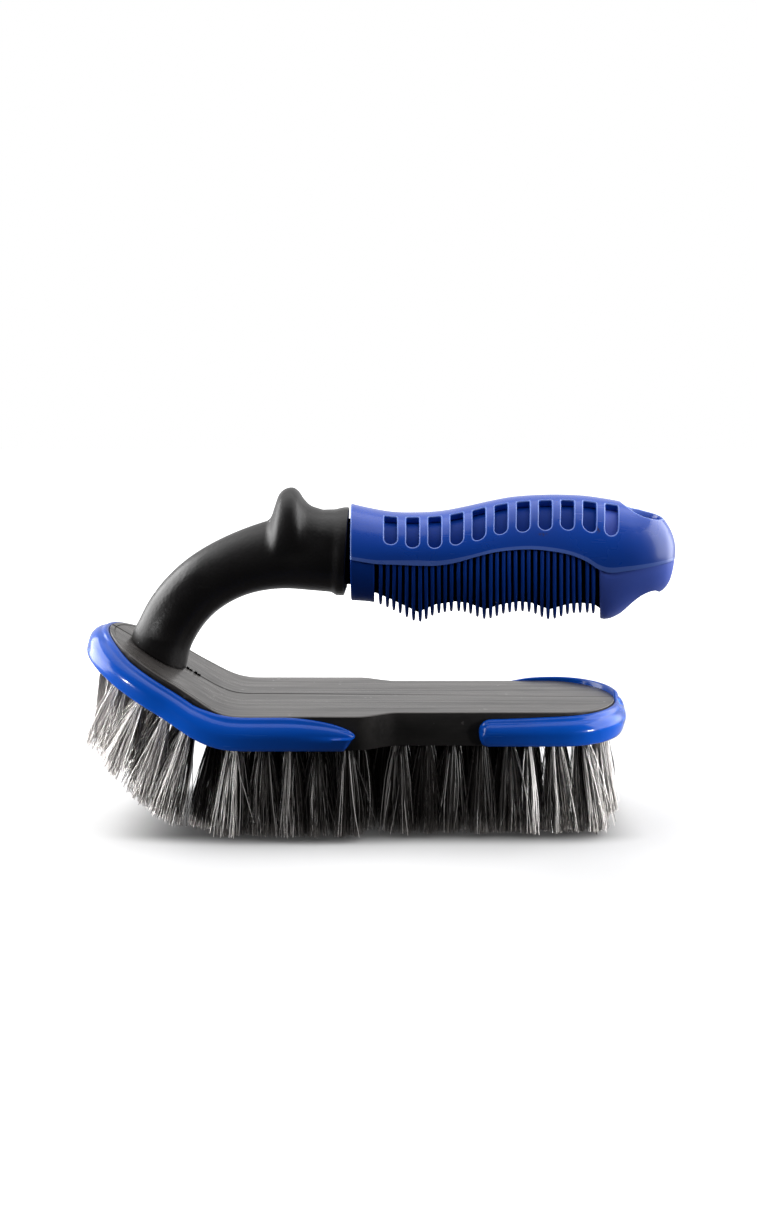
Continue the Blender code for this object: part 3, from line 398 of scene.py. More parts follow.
def dress_plate(material):
    tree, shader, worn = shader_of(material)
    given = source(tree, "TexCoord")
    place, facing = given["Object"], axes(given["Normal"])["Z"]
    x, y = axes(place)["X"], axes(place)["Y"]
    first, last = SEAM[0][0], SEAM[-1][0]
    along = ranged(x, first + SHIFT, last + SHIFT, 0, 1, "LINEAR")
    line = node("FloatCurve", {"Value": along})
    knots = [((at - first) / (last - first), 0.5 + aside * 100) for at, aside in SEAM]
    bend = line.mapping.curves[0]
    bend.points[0].location, bend.points[-1].location = knots[0], knots[-1]
    for knot in knots[1:-1]:
        bend.points.new(*knot)
    line.mapping.update()
    middle = times(minus(line.outputs["Value"], 0.5), 0.01)
    away = minus(y, middle)
    fading = ranged(x, -0.050, 0.010, 0.85, 0.22)
    seam = times(band(away, 0, 0.00030, 0.00085), fading)
    # The lip band is a painted highlight: a paler line 2.2 mm beside the seam.
    lip = band(away, -0.0022, 0.0004, 0.0012)
    flash = times(band(x, -0.0644, 0.0026, 0.0034), band(away, 0, 0.00040, 0.00055))
    flash = times(flash, ranged(noise(place, 700, 1), 0.40, 0.44, 0, 1))
    # The side wall's colour is darkened as painted shade, and its roughness is raised.
    painted_wall_shade = ranged(facing, 0.30, 0.62, 0.75, 0)
    marks_and_painted_shade = maths("MAXIMUM", maths("MAXIMUM", seam, flash), painted_wall_shade)
    streak = ranged(noise(place, 1, 4, 0.6, (14, 620, 200)), 0.32, 0.68, 0, 1)
    cloud = ranged(noise(place, 1, 5, 0.65, (34, 120, 60)), 0.35, 0.70, 0, 1)
    nick = ranged(noise(place, 1, 2, 0.5, (230, 420, 300)), 0.72, 0.78, 0, 1)
    for mask, share, colour in ((streak, 0.8, (0.060, 0.054, 0.051)), (cloud, 0.6, (0.085, 0.078, 0.074)),
                                (nick, 0.7, (0.30, 0.29, 0.28)), (lip, 0.5, (0.10, 0.095, 0.09))):
        worn = mixed(times(mask, share), worn, colour)
    sunk = minus(times(streak, 0.12), marks_and_painted_shade)
    rough = ranged(streak, 0, 1, 0.36, 0.27)
    feed(shader, {
        # Seam and flash are real dark marks; the side wall's share is painted shade.
        "Base Color": mixed(marks_and_painted_shade, worn, (0.001, 0.001, 0.001)),
        "Specular IOR Level": times(minus(1.0, times(marks_and_painted_shade, 0.8)), 0.75),
        "Specular Tint": (1.0, 0.965, 0.955, 1),
        "Roughness": plus(rough, times(marks_and_painted_shade, 0.5)),
        "Normal": node("Bump", {"Distance": 0.00004, "Height": sunk}).outputs["Normal"]})


plate_top = plastic("plate black", (0.010, 0.009, 0.009), (0.016, 0.014, 0.014), (0.14, 0.24),
                    (500, 0.00001), (520, 0.05))
dress_plate(plate_top)
print("plate finish:", len(plate_top.node_tree.nodes), "nodes")

# %% [markdown]
# The head is a plate with a rounded nose and tail, wide in front and narrower behind a soft step.
# It is drawn as a flat outline, thickened, given a rounded rim, and only then bent: bending last
# keeps the outline true and the rim even.

# %% Outline of the head
NOSE_REACH, TAIL_REACH, NOSE_ROUND, TAIL_ROUND = 0.0997, 0.0823, 0.0280, 0.0212
NOSE_HALF, WIDE_HALF, NARROW_HALF = 0.0243, 0.0279, 0.0224
NOSE_LINE, TAIL_LINE = NOSE_ROUND - NOSE_REACH, TAIL_REACH - TAIL_ROUND
WIDE_FROM, WIDE_TO, NARROW_FROM, NARROWING = -0.0480, -0.0075, 0.0065, 0.0140


def half_width(x):
    x = np.asarray(x, float)
    half = (NOSE_HALF + (WIDE_HALF - NOSE_HALF) * ease(x, NOSE_LINE, WIDE_FROM - NOSE_LINE)
            - (WIDE_HALF - NARROW_HALF) * ease(x, WIDE_TO, NARROWING))
    nose = np.sqrt(np.clip(1 - (np.clip(NOSE_LINE - x, 0, None) / NOSE_ROUND) ** 2, 0, 1))
    tail = np.sqrt(np.clip(1 - (np.clip(x - TAIL_LINE, 0, None) / TAIL_ROUND) ** 2, 0, 1))
    return half * nose * tail


def side_places(count=24):
    quarter = np.linspace(0, math.pi / 2, count + 1)
    return np.unique(np.r_[
        NOSE_LINE - NOSE_ROUND * np.cos(quarter), np.linspace(NOSE_LINE, WIDE_FROM, 20),
        np.linspace(WIDE_FROM, WIDE_TO, 12), np.linspace(WIDE_TO, NARROW_FROM, 18),
        np.linspace(NARROW_FROM, TAIL_LINE, 14), TAIL_LINE + TAIL_ROUND * np.sin(quarter)].round(7))


def side_line(offset=0.0, places=None):
    """One side of the outline, moved out square to itself, with its outward directions."""
    x = side_places() if places is None else places
    p = np.stack([x, half_width(x)], 1)
    before = [p[0, 0], -p[1, 1]] if p[0, 1] < 0.0001 else p[0]
    after = [p[-1, 0], -p[-2, 1]] if p[-1, 1] < 0.0001 else p[-1]
    ext = np.r_[[before], p, [after]]
    along = ext[2:] - ext[:-2]
    along /= np.linalg.norm(along, axis=1)[:, None]
    out = np.stack([-along[:, 1], along[:, 0]], 1)
    return p + out * offset, out


# %% [markdown]
# The nose is bent up softly. Along the plate's top the angle eases from level to the full bend over
# about 17 mm. Summed in small steps, it gives the run and the rise of the bent top at every point.

# %% The bend of the nose
BEND_S = np.linspace(-0.0030, 0.0700, 600)
BEND_A = NOSE_ANGLE * ease(BEND_S, -0.0025, 0.0167)
BEND_HALFWAY, BEND_STEP = (BEND_A[1:] + BEND_A[:-1]) / 2, np.diff(BEND_S)
BEND_RUN = np.r_[[0], np.cumsum(np.cos(BEND_HALFWAY) * BEND_STEP)] + BEND_S[0]
BEND_RISE = np.r_[[0], np.cumsum(np.sin(BEND_HALFWAY) * BEND_STEP)]


def bent(co):
    """Carry points of the flat head round the bend of the nose, which starts and ends softly."""
    co = np.array(co, float)
    past = -BEND_START - co[..., 0]
    depth = PLATE_TOP - co[..., 2]
    angle = np.interp(past, BEND_S, BEND_A)
    x = -BEND_START - np.interp(past, BEND_S, BEND_RUN) - depth * np.sin(angle)
    z = PLATE_TOP + np.interp(past, BEND_S, BEND_RISE) - depth * np.cos(angle)
    moved = past > BEND_S[0]
    co[..., 0] = np.where(moved, x, co[..., 0])
    co[..., 2] = np.where(moved, z, co[..., 2])
    return co


def drawn_up(name, outline, height):
    """A circle of points dragged onto an outline, filled and drawn up to a slab."""
    let_go()
    bpy.ops.mesh.primitive_circle_add(vertices=len(outline), fill_type="NGON")
    piece = name_it(name)
    place_points(piece, outline)
    edit(piece)
    bpy.ops.mesh.extrude_region_move(TRANSFORM_OT_translate={"value": (0, 0, height)})
    outward()
    return piece


def plate_slab(name, offset, bottom, top):
    line = side_line(offset)[0]
    outline = np.r_[line, (line * [1, -1])[-2:0:-1]]
    return drawn_up(name, np.c_[outline, np.full(len(outline), bottom)], top - bottom)


def slice_up(piece, places, normal=(1, 0, 0)):
    """Cut a piece across at many places, so that it can bend there."""
    edit(piece)
    direction = Vector(normal)
    for value in places:
        bpy.ops.mesh.select_all(action="SELECT")
        bpy.ops.mesh.bisect(plane_co=direction * value, plane_no=direction)
    done()


# %% A box between two corners
def box(name, lowest, highest):
    let_go()
    lowest, highest = np.array(lowest, float), np.array(highest, float)
    bpy.ops.mesh.primitive_cube_add(size=1, location=(lowest + highest) / 2, scale=highest - lowest)
    settle()
    return name_it(name)


# %% [markdown]
# The rim is rounded with a bevel while the slab is still flat, because there the rim's edges are
# easy to pick: they are the edges that lie in the top face. A fine groove follows the rim: four
# insets step the top face in, down and up again. It is kept on the nose and filled on the rest.
# Two torn scraps of flash stand on the seam behind the neck. Each is a thin fin with a ragged top.

# %% Head block
head = plate_slab("head_block", 0.0003, PLATE_TOP - THICK, PLATE_TOP)
edit(head)
pick(head, "EDGE", lambda e: len(e.link_faces) == 2 and all(v.co.z > PLATE_TOP - 1e-5 for v in e.verts))
bevel(0.00035, 3)
pick(head, "FACE", lambda f: f.normal.z > 0.9 and len(f.verts) > 20)
for inward, up in ((0.0012, 0.0), (0.00014, -0.00022), (0.00012, 0.0), (0.00014, 0.00022), (0.0005, 0.0)):
    bpy.ops.mesh.inset(thickness=inward, depth=up)
pick(head, "FACE", lambda f: f.normal.z < -0.9)
bpy.ops.mesh.inset(thickness=0.0016, depth=0)
bpy.ops.mesh.extrude_region_move(TRANSFORM_OT_translate={"value": (0, 0, 0.0015)})
pick(head, "EDGE", lambda e: all(v.co.z < PLATE_TOP - THICK + 1e-5 for v in e.verts))
bevel(0.0003, 2)
done()
slice_up(head, -BEND_START - np.linspace(-0.0030, 0.0150, 34))
slice_up(head, np.linspace(-0.094, 0.080, 30))
flat = points(head)
low_by = PLATE_TOP - flat[:, 2]
groove = (low_by > 0.0001) & (low_by < 0.0003) & (half_width(flat[:, 0]) - np.abs(flat[:, 1]) > 0.0006)
flat[groove, 2] = PLATE_TOP - 0.00022 * (1 - ease(flat[groove, 0], -0.062, 0.012))
place_points(head, bent(flat))
scraps = []
for start, end, tall in ((-0.0701, -0.0678, 0.0007), (-0.0670, -0.0645, 0.0008)):
    scrap = box("scrap", (start, 0.00075, PLATE_TOP - 0.0003), (end, 0.00110, PLATE_TOP + tall))
    slice_up(scrap, np.linspace(start, end, 7)[1:-1])
    co = points(scrap)
    ragged = np.random.default_rng(4).uniform(0.2, 1.0, 9)
    top_edge = co[:, 2] > PLATE_TOP
    step = np.round((co[:, 0] - start) / (end - start) * 6).astype(int)
    co[top_edge, 2] = PLATE_TOP + tall * ragged[step[top_edge]]
    place_points(scrap, bent(co))
    scraps.append(scrap)
join(head, *scraps)
smooth_by(head, 32)
print("head block faces:", len(head.data.polygons))

# %% [markdown]
# The neck rises from a small foot on the nose, arches forward over the head and swells into the
# socket that takes the handle. Its middle line is one smooth curve. Each ring along it is an oval
# set square to the line, and the thumb stop is a fin that lifts the top of the rings near it.

# %% Middle line and rings of the neck
FOOT, SOCKET_X, SOCKET_RADIUS, COLLAR_RADIUS, SIDES = 0.0812, -0.0116, 0.0144, 0.0114, 72
FOOT_TALL, FOOT_WIDE, NECK_LEAN, NECK_PULL, RIM_TILT = 0.0100, 0.0095, 16.4, 1.2252, 3.3
STOP_PLACE, STOP_HEIGHT, STOP_FRONT, STOP_REAR = -0.0309, 0.0092, 0.0072, 0.0118
NECK_SIZE = ((0.0, 0.0), (0.12, 0.035), (0.25, 0.06), (0.40, 0.16), (0.55, 0.44), (0.70, 0.82), (0.85, 0.98),
             (1.0, 1.0))
STOP = ((-1.0, 0.0), (-0.80, 0.14), (-0.62, 0.50), (-0.44, 0.84), (-0.18, 0.99), (0.12, 0.99), (0.30, 0.80),
        (0.45, 0.48), (0.65, 0.20), (1.0, 0.0))


def neck_line(t):
    foot = bent(np.array([-FOOT, 0, PLATE_TOP + 0.0003]))
    lean = math.radians(NECK_LEAN)
    rim = np.array([SOCKET_X, 0, AXIS])
    a, b = foot, foot + np.array([math.sin(lean), 0, math.cos(lean)]) * NECK_PULL * (AXIS - foot[2])
    c, d = rim - [0.0020, 0, 0], rim
    s = 1 - t
    place = a * s ** 3 + 3 * b * s * s * t + 3 * c * s * t * t + d * t ** 3
    along = (b - a) * s * s + (c - b) * 2 * s * t + (d - c) * t * t
    return place, along / np.linalg.norm(along)


def neck_ring(t, grow=0.0):
    place, along = neck_line(t)
    plate_normal = np.array([math.sin(NOSE_ANGLE), 0, math.cos(NOSE_ANGLE)])
    settle = 1 - ease(t, 0, 0.3)
    normal = plate_normal * settle + along * (1 - settle)
    normal /= np.linalg.norm(normal)
    tilt = math.radians(RIM_TILT) * ease(t, 0.8, 0.2)
    up = np.array([-normal[2], 0, normal[0]])
    up = np.array([up[0] * math.cos(tilt) + up[2] * math.sin(tilt), 0,
                   up[2] * math.cos(tilt) - up[0] * math.sin(tilt)])
    share = curve(NECK_SIZE, t)
    foot_flare = 0.0008 * (1 - ease(t, 0, 0.07))
    rim_flare = 0.0009 * ease(place[0], SOCKET_X - 0.0045, 0.0036)
    extra = foot_flare + rim_flare + grow
    tall, wide = (size + (SOCKET_RADIUS - size) * share + extra for size in (FOOT_TALL, FOOT_WIDE))
    angle = np.arange(SIDES) * math.tau / SIDES
    ring = place + up * (tall * np.sin(angle))[:, None]
    ring[:, 1] += wide * np.cos(angle)
    away = ring[:, 0] - STOP_PLACE
    rise = STOP_HEIGHT * curve(STOP, np.where(away < 0, away / STOP_FRONT, away / STOP_REAR))
    lift = np.clip(np.sin(angle), 0, 1)
    top = rise * lift ** 1.4 * (grow >= 0)
    ring[:, 1] += np.cos(angle) * top
    ring[:, 2] += lift * top
    return ring


# %% Neck
def neck_stations():
    fine = np.linspace(0, 1, 3001)
    line = np.array([neck_line(t)[0] for t in fine])
    gap = np.linalg.norm(np.diff(line, axis=0), axis=1)
    near_stop = np.abs(line[:-1, 0] - STOP_PLACE - 0.002) < 0.012
    near_ends = (line[:-1, 0] > SOCKET_X - 0.006) | (fine[:-1] < 0.06)
    pitch = np.where(near_ends, 0.0004, np.where(near_stop, 0.00045, 0.0013))
    steps = np.r_[[0], np.cumsum(gap / pitch)]
    return np.interp(np.linspace(0, steps[-1], int(steps[-1]) + 1), steps, fine)


rings = [neck_ring(0, -0.0004), neck_ring(0)] + [neck_ring(t) for t in neck_stations()[1:]]
LIP = 0.0007
for a in np.linspace(0, math.pi / 2, 5)[1:]:
    ring = neck_ring(1, -LIP * (1 - math.cos(a)))
    ring[:, 0] += LIP * math.sin(a)
    rings.append(ring)
turn = np.arange(SIDES) * math.tau / SIDES
inner = COLLAR_RADIUS + 0.0003
lip_x = rings[-1][:, 0].mean()
for back, wider in ((0, 0.0006), (0.0003, 0.0002), (0.0009, 0), (0.010, 0), (0.0195, 0)):
    r = inner + wider
    rings.append(np.stack([np.full(SIDES, lip_x - back), r * np.cos(turn), AXIS + r * np.sin(turn)], 1))
neck = rolled("neck", rings)
smooth_by(neck, 50)
print("neck rings:", len(rings), "faces:", len(neck.data.polygons))

# %% [markdown]
# A bumper is a soft strip that wraps one end of the head. Its section has a thin lip against the
# plate, a shallow valley and a full roll below. The strip is swept flat round the outline, thinned
# towards its two ends, and bent together with the nose.

# %% Section and sweep of a bumper
SECTION = ((0.00, 0.955), (0.05, 0.985), (0.13, 1.0), (0.24, 0.995), (0.35, 0.965), (0.42, 0.915),
           (0.47, 0.862), (0.54, 0.838), (0.67, 0.805), (0.81, 0.742), (0.92, 0.655), (0.985, 0.565),
           (1.0, 0.49), (0.975, 0.41), (0.915, 0.31), (0.85, 0.21), (0.785, 0.11), (0.68, 0.03), (0.50, 0.0),
           (0.25, 0.0), (0.0, 0.01))
BUMPER_LOW, BUMPER_HIGH, BUMPER_REACH = PLATE_TOP - THICK + 0.0004, PLATE_TOP - 0.0005, 0.0044


def swell(distance, taper, fullness):
    share = np.clip(distance / taper, 0, 1)
    return np.maximum(1 - (1 - share) ** fullness, 0.0) ** (1 / fullness)


def bumper(name, places, long_taper, slope, drop, cut=0.0):
    """Places run from the strip's end to the tip; drop lowers its upper lip, cut trims its foot."""
    line, out = side_line(0, np.sort(places))
    if places[0] > places[-1]:
        line, out = line[::-1], out[::-1]
    line = np.r_[line, (line * [1, -1])[-2::-1]]
    out = np.r_[out, (out * [1, -1])[-2::-1]]
    section = np.array(SECTION)
    height = BUMPER_HIGH - BUMPER_LOW
    pivot = BUMPER_LOW + height * 0.43
    rings = []
    for p, o in zip(line, out):
        distance = abs(p[0] - places[0])
        upper, lower = swell(distance, long_taper, slope), swell(distance, 0.0030, 2.4)
        z = BUMPER_LOW + section[:, 1] * (height - drop(p[0], p[1]) * section[:, 1])
        z = pivot + (z - pivot) * np.where(z > pivot, upper, lower)
        full = lower * np.where(z > pivot, 0.35 + 0.65 * upper, 1.0)
        reach = 0.0003 + section[:, 0] * BUMPER_REACH * full
        ring = np.stack([p[0] + o[0] * reach, p[1] + o[1] * reach, z], 1)
        below = np.clip((pivot - z) / (pivot - BUMPER_LOW), 0, 1) ** 0.7
        ring[:, 0] += cut * below * (1 - ease(distance, 0, 0.0055))
        rings.append(ring)
    piece = rolled(name, bent(np.array(rings)))
    smooth_by(piece, 60)
    return piece


CLOSE = (0.0, 0.01, 0.03, 0.07, 0.12, 0.2, 0.3, 0.42, 0.56, 0.75, 1.0)


def strip_places(start, tip):
    """Dense places near the strip's end and round the tip."""
    direction = 1 if tip > start else -1
    near = start + direction * 0.0042 * np.array(CLOSE)
    rest = [x for x in side_places() if direction * (x - near[-1]) > 0.0006]
    long = np.linspace(near[-1], near[-1] + direction * 0.022, 16)[1:]
    return np.array(sorted(set(np.round(np.r_[near, rest, long], 7)), reverse=direction < 0))


def front_drop(x, y):
    strip = ease(-x, 0.0535, 0.0085) * (1 - ease(-x, 0.084, 0.014))
    return 0.0014 * strip - 0.0005 * (1 - ease(-x, 0.0500, 0.0050)) * (y < 0)


def rear_drop(x, y):
    fall = 0.0016 * (1 - ease(x, 0.0336, 0.0487))
    return fall - (0.0024 * ease(x, 0.038, 0.020) if y > 0 else 0)


front_bumper = bumper("front_bumper", strip_places(-0.0077, -NOSE_REACH), 0.0240, 1.72, front_drop, -0.0026)
rear_bumper = bumper("rear_bumper", strip_places(0.0336, TAIL_REACH), 0.0042, 2.2, rear_drop)
print("bumper faces:", len(front_bumper.data.polygons), len(rear_bumper.data.polygons))

# %% [markdown]
# The grip is an oval tube whose top sways like the palm and whose underside has three finger
# waves. Three tables give its outline above the axis, below it and across. A wavy parting line
# divides the glossy cover above from the dull sleeve below.

# %% Outline of the grip
CROWN, DEPTH, HALF, LENGTH = 0.0196, 0.0250, 0.0168, GRIP_END - GRIP_START
TOP = ((0.0, 0.842), (0.054, 0.770), (0.128, 0.699), (0.20, 0.689), (0.277, 0.714), (0.351, 0.791),
       (0.426, 0.888), (0.50, 0.964), (0.611, 1.0), (0.708, 0.985), (0.782, 0.930), (0.827, 0.883),
       (0.852, 0.856), (0.878, 0.846), (0.904, 0.824), (0.943, 0.690), (0.975, 0.460), (0.992, 0.25),
       (1.0, 0.05))
BOTTOM = ((0.0, 0.690), (0.0717, 0.722), (0.112, 0.795), (0.152, 0.88), (0.208, 1.0), (0.263, 0.892),
          (0.323, 0.850), (0.361, 0.870), (0.417, 0.96), (0.472, 0.885), (0.523, 0.850), (0.56, 0.868),
          (0.617, 0.963), (0.676, 0.885), (0.715, 0.872), (0.755, 0.885), (0.777, 0.955), (0.81, 0.936),
          (0.869, 0.778), (0.943, 0.610), (0.984, 0.430), (1.0, 0.05))
WIDTH = ((0.0, 0.99), (0.12, 0.95), (0.25, 0.96), (0.5, 1.0), (0.7, 1.0), (0.83, 0.95), (0.90, 0.84),
         (0.949, 0.68), (0.975, 0.50), (0.990, 0.31), (1.0, 0.05))
PARTING = ((0.0, -0.04), (0.0726, -0.125), (0.126, -0.143), (0.199, -0.161), (0.256, -0.161), (0.314, -0.101),
           (0.371, 0.012), (0.428, 0.107), (0.486, 0.155), (0.543, 0.167), (0.60, 0.131), (0.659, 0.048),
           (0.703, -0.077), (0.739, -0.232), (0.775, -0.304), (0.812, -0.286), (0.884, -0.22), (1.0, -0.10))


def grip_sizes(x, inset=0.0):
    share = (np.asarray(x, float) - GRIP_START) / LENGTH
    return [np.maximum(size * curve(table, share) - inset, 0.0003)
            for size, table in ((CROWN, TOP), (DEPTH, BOTTOM), (HALF, WIDTH))]


def parting_angle(x, shift=0.0):
    """Angle from the level, at which the parting line lies on the skin."""
    rise = HALF * curve(PARTING, (np.asarray(x, float) - GRIP_START) / LENGTH) + shift
    top, bottom, _ = grip_sizes(x)
    return np.arcsin(np.clip(rise / np.where(rise > 0, top, bottom), -1, 1))


def on_skin(x, angle, inset=0.0):
    top, bottom, half = grip_sizes(x, inset)
    tall = np.where(np.sin(angle) >= 0, top, bottom)
    return np.stack([x + 0 * angle, half * np.cos(angle), AXIS + tall * np.sin(angle)], -1)


# %% [markdown]
# The cover is made the way a tailor makes a sleeve: it is laid out flat, worked, and wrapped round
# the grip at the end. Flat, the slots are plain holes in a plain slab, so a Boolean cuts them
# clean and a bevel can round their rims evenly. Many cross cuts then let the slab bend. The slots
# lean towards the tail like the lines of sight, so that each shows its floor and not its walls.

# %% Flat layout of the cover
GIRTH, WALL, SLOT_WIDTH, SLOTS, SLOT_FIRST, SLOT_LAST = 0.0270, 0.0023, 0.0043, 11, 0.0040, 0.0771
SLOT_HEAD = 0.0060
SLOT_FOOT = (0.225, 0.17, 0.165, 0.225, 0.30, 0.40, 0.44, 0.47, 0.475, 0.445, 0.375)


def flat_v(x, angle):
    """Distance from the spine in the flat layout, of a place on the skin."""
    return GIRTH * (math.pi / 2 - angle) / (math.pi / 2 - parting_angle(x))


def slot_cutter(x, near, far, lean):
    """A bar with a round foot, standing through the slab; its near end leans towards the tail."""
    bar = box("slot", (x - SLOT_WIDTH / 2, min(near, far), -0.01), (x + SLOT_WIDTH / 2, max(near, far), 0.01))
    edit(bar)
    for outer, width, steps in ((True, SLOT_WIDTH / 2 * 0.97, 8), (False, 0.0004, 2)):
        def upright(edge):
            one, two = (v.co for v in edge.verts)
            past = abs(one.y) - abs(near)
            return abs(one.z - two.z) > 0.01 and (past > 1e-4 if outer else abs(past) < 1e-4)

        pick(bar, "EDGE", upright)
        bevel(width, steps)
    done()
    co = points(bar)
    co[:, 0] += lean * (far - co[:, 1]) / (far - near)
    place_points(bar, co)
    return bar


cutters = []
for i in range(SLOTS):
    x = SLOT_FIRST + (SLOT_LAST - SLOT_FIRST) * i / (SLOTS - 1)
    top, bottom, half = grip_sizes(x)
    near = flat_v(x, math.acos(SLOT_HEAD / half))
    far = flat_v(x, math.asin(CROWN * SLOT_FOOT[i] / top))
    cutters += [slot_cutter(x - GRIP_START, side * near, side * far, 0.0205 * x) for side in (-1, 1)]

# %% [markdown]
# The hanging hole is an oval in plan, a little nearer to this side than to the other, because its
# near rim shows below its far one. Its cutter is the same oval carried into the flat layout: a
# circle of points is dragged to where the oval meets the skin.

# %% Cut the flat slab and round its rims
HOLE_X, HOLE_Y, HOLE_LONG, HOLE_HALF, HOLE_SIDES = 0.0900, -0.0009, 0.0072, 0.0082, 56


def cut_away(piece, tool):
    take(piece)
    cut = piece.modifiers.new("cut", "BOOLEAN")
    cut.operation, cut.solver, cut.object = "DIFFERENCE", "EXACT", tool
    bpy.ops.object.modifier_apply(modifier="cut")
    bpy.data.objects.remove(tool)


def hole_cutter():
    a = np.arange(HOLE_SIDES) * math.tau / HOLE_SIDES
    x, y = HOLE_X + HOLE_LONG * np.cos(a), HOLE_Y + HOLE_HALF * np.sin(a)
    v = flat_v(x, np.arccos(np.abs(y) / grip_sizes(x)[2])) * np.sign(y)
    return drawn_up("hole", np.c_[x - GRIP_START, v, np.full(HOLE_SIDES, -0.01)], 0.02)


tool = join(*cutters, hole_cutter())
cover = box("grip_cover", (0, -GIRTH, -WALL), (LENGTH, GIRTH, 0))
cut_away(cover, tool)
edit(cover)
pick(cover, "EDGE", lambda e: len(e.link_faces) == 2 and all(abs(v.co.z) < 1e-6 for v in e.verts)
     and all(v.co.x < LENGTH - 1e-5 for v in e.verts)
     and abs(e.link_faces[0].normal.dot(e.link_faces[1].normal)) < 0.5)
bevel(0.00042, 3)
done()
print("flat cover faces:", len(cover.data.polygons))


# %% Wrap the cover round the grip
def wrap_cover(co):
    u, v, depth = np.clip(co[:, 0] / LENGTH, 0, 1), co[:, 1], -co[:, 2]
    x = GRIP_START + u * LENGTH
    angle = math.pi / 2 - np.clip(np.abs(v) / GIRTH, 0, 1.02) * (math.pi / 2 - parting_angle(x))
    side = np.where(v < 0, -1, 1)
    laid = on_skin(x, angle, depth)
    laid[:, 1] *= side
    laid[:, 0] -= depth * ease(u, 0.93, 0.07)
    return laid


def paint_rim_highlights(piece):
    """Mark faces for a painted highlight: the rounded rim faces, the hole's and the long lower edges most of
    all, and faintly the hole's sides and the faces beside the lower edges.
    """
    rim_highlights = []
    for face in piece.data.polygons:
        at, slope = face.center, face.normal.z
        round_face, by_hole = 0.02 < slope < 0.98, 0.0915 < at.x < 0.1075
        if abs(at.y) > GIRTH - 0.0009:
            rim_highlights.append(1.0 if round_face else 0.22 * (slope > 0.9))
        else:
            share = 0.80 if by_hole else 0.38
            rim_highlights.append(share * round_face + 0.12 * (by_hole and abs(slope) < 0.02))
    piece.data.attributes.new("rim", "FLOAT", "FACE").data.foreach_set("value", rim_highlights)


dome = 1 - 0.06 * (1 - np.sin(np.linspace(0, math.pi / 2, 22)[1:-1]))
slice_up(cover, np.r_[np.arange(0.0006, LENGTH * 0.94, 0.0010), dome * LENGTH])
slice_up(cover, np.linspace(-GIRTH, GIRTH, 48)[1:-1], (0, 1, 0))
paint_rim_highlights(cover)
place_points(cover, wrap_cover(points(cover)))
edit(cover)
bpy.ops.mesh.remove_doubles(threshold=2e-6)
done()
smooth_by(cover, 48)
print("wrapped cover faces:", len(cover.data.polygons))

# %% [markdown]
# The sleeve under the cover shows in three places: as the floors of the slots, as the two end
# blocks, and as the comb of ribs between them. Each is a closed skin of rings along the grip. The
# ribs stand a little askew, like spokes along the lines of sight, so that every gap can be seen
# through, and the face of the end block stands askew with them.

# %% Sleeve blocks and arch
END_FACE, DOME = 0.0772, 0.0945


def swept(x, y, z):
    """Where a rib that starts at x lies at this place."""
    return x * (1 + 2.44 * y - 0.43 * (z - 0.0700))


def section_ring(x, cover_inset, block_inset, sweep):
    """A full ring: under the cover above the parting line, flush with the outside below it."""
    angle = np.arange(96) * math.tau / 96 - math.pi / 2
    level = np.where(np.cos(angle) >= 0, angle, math.pi - angle)
    lift = np.sin(angle)
    top, bottom, half = grip_sizes(x)
    rough = AXIS + np.where(lift >= 0, top, bottom) * lift
    place = x + sweep * (swept(x, half * np.cos(angle), rough) - x)
    edge = parting_angle(place, 0.0001)
    inset = block_inset + (cover_inset - block_inset) * ease(level - edge, 0, 0.03)
    top, bottom, half = grip_sizes(place)
    tall = np.where(lift >= 0, top, bottom) - inset
    return np.stack([place, (half - inset) * np.cos(angle), AXIS + np.maximum(tall, 0.0002) * lift], 1)


def block(name, start, end, rounded=0.0004):
    """A closed block of rings with rounded faces; beyond DOME it closes in steps that grow finer."""
    inner = np.arange(start + 0.0015, min(end, 0.094), 0.0012)
    places = [[start, start + rounded * 0.3, start + rounded], inner]
    if end > DOME:
        places.append(DOME + (end - DOME) * np.sin(np.linspace(0, math.pi / 2, 16)))
    else:
        places.append([end - rounded, end - rounded * 0.3, end])
    rings = []
    for x in np.unique(np.concatenate(places).round(6)):
        shrink = 0.0
        for face in (start, end):
            if face < DOME:
                near = min(abs(x - face) / rounded, 1)
                shrink = max(shrink, rounded * (1 - math.sqrt(1 - (1 - near) ** 2)))
        sweep = 1 - ease(x, END_FACE, 0.0130) if start == END_FACE else 0.0
        rings.append(section_ring(x, 0.0025 + shrink, 0.0004 + shrink, sweep))
    return rolled(name, rings)


front_block = block("grip_sleeve", GRIP_START, -0.0014)
end_block = block("end_block", END_FACE, 0.1018)


def arch():
    """The thin shell that closes the slots from below."""
    rings = []
    for x in np.arange(-0.0035, 0.0765, 0.0011):
        edge = parting_angle(x, 0.0006)
        a = np.linspace(edge, math.pi - edge, 56)
        outer, inner = on_skin(x, a, 0.0026), on_skin(x, a, 0.0044)
        rings.append(np.r_[outer, inner[::-1]])
    return rolled("arch", rings)


# %% [markdown]
# One rib is a thin blade that hangs from the cover's edge, runs under the core and comes up on the
# far side, a little thinner and rounder towards its outer edge. It is modelled once as a rolled
# sheet in plain shares of its thickness and depth. Each copy is then fitted to its own station.

# %% Ribs
RIBS, RIB_FIRST, RIB_LAST, CORE_DEPTH = 34, 0.0009, 0.0749, 0.0037
BLADE = ((0.72, 1.0), (0.70, 0.72), (0.68, 0.42), (0.65, 0.20), (0.56, 0.07), (0.36, 0.0))
TOOTH = ((0.70, 1.0), (0.66, 0.72), (0.60, 0.42), (0.52, 0.20), (0.42, 0.07), (0.24, 0.0))


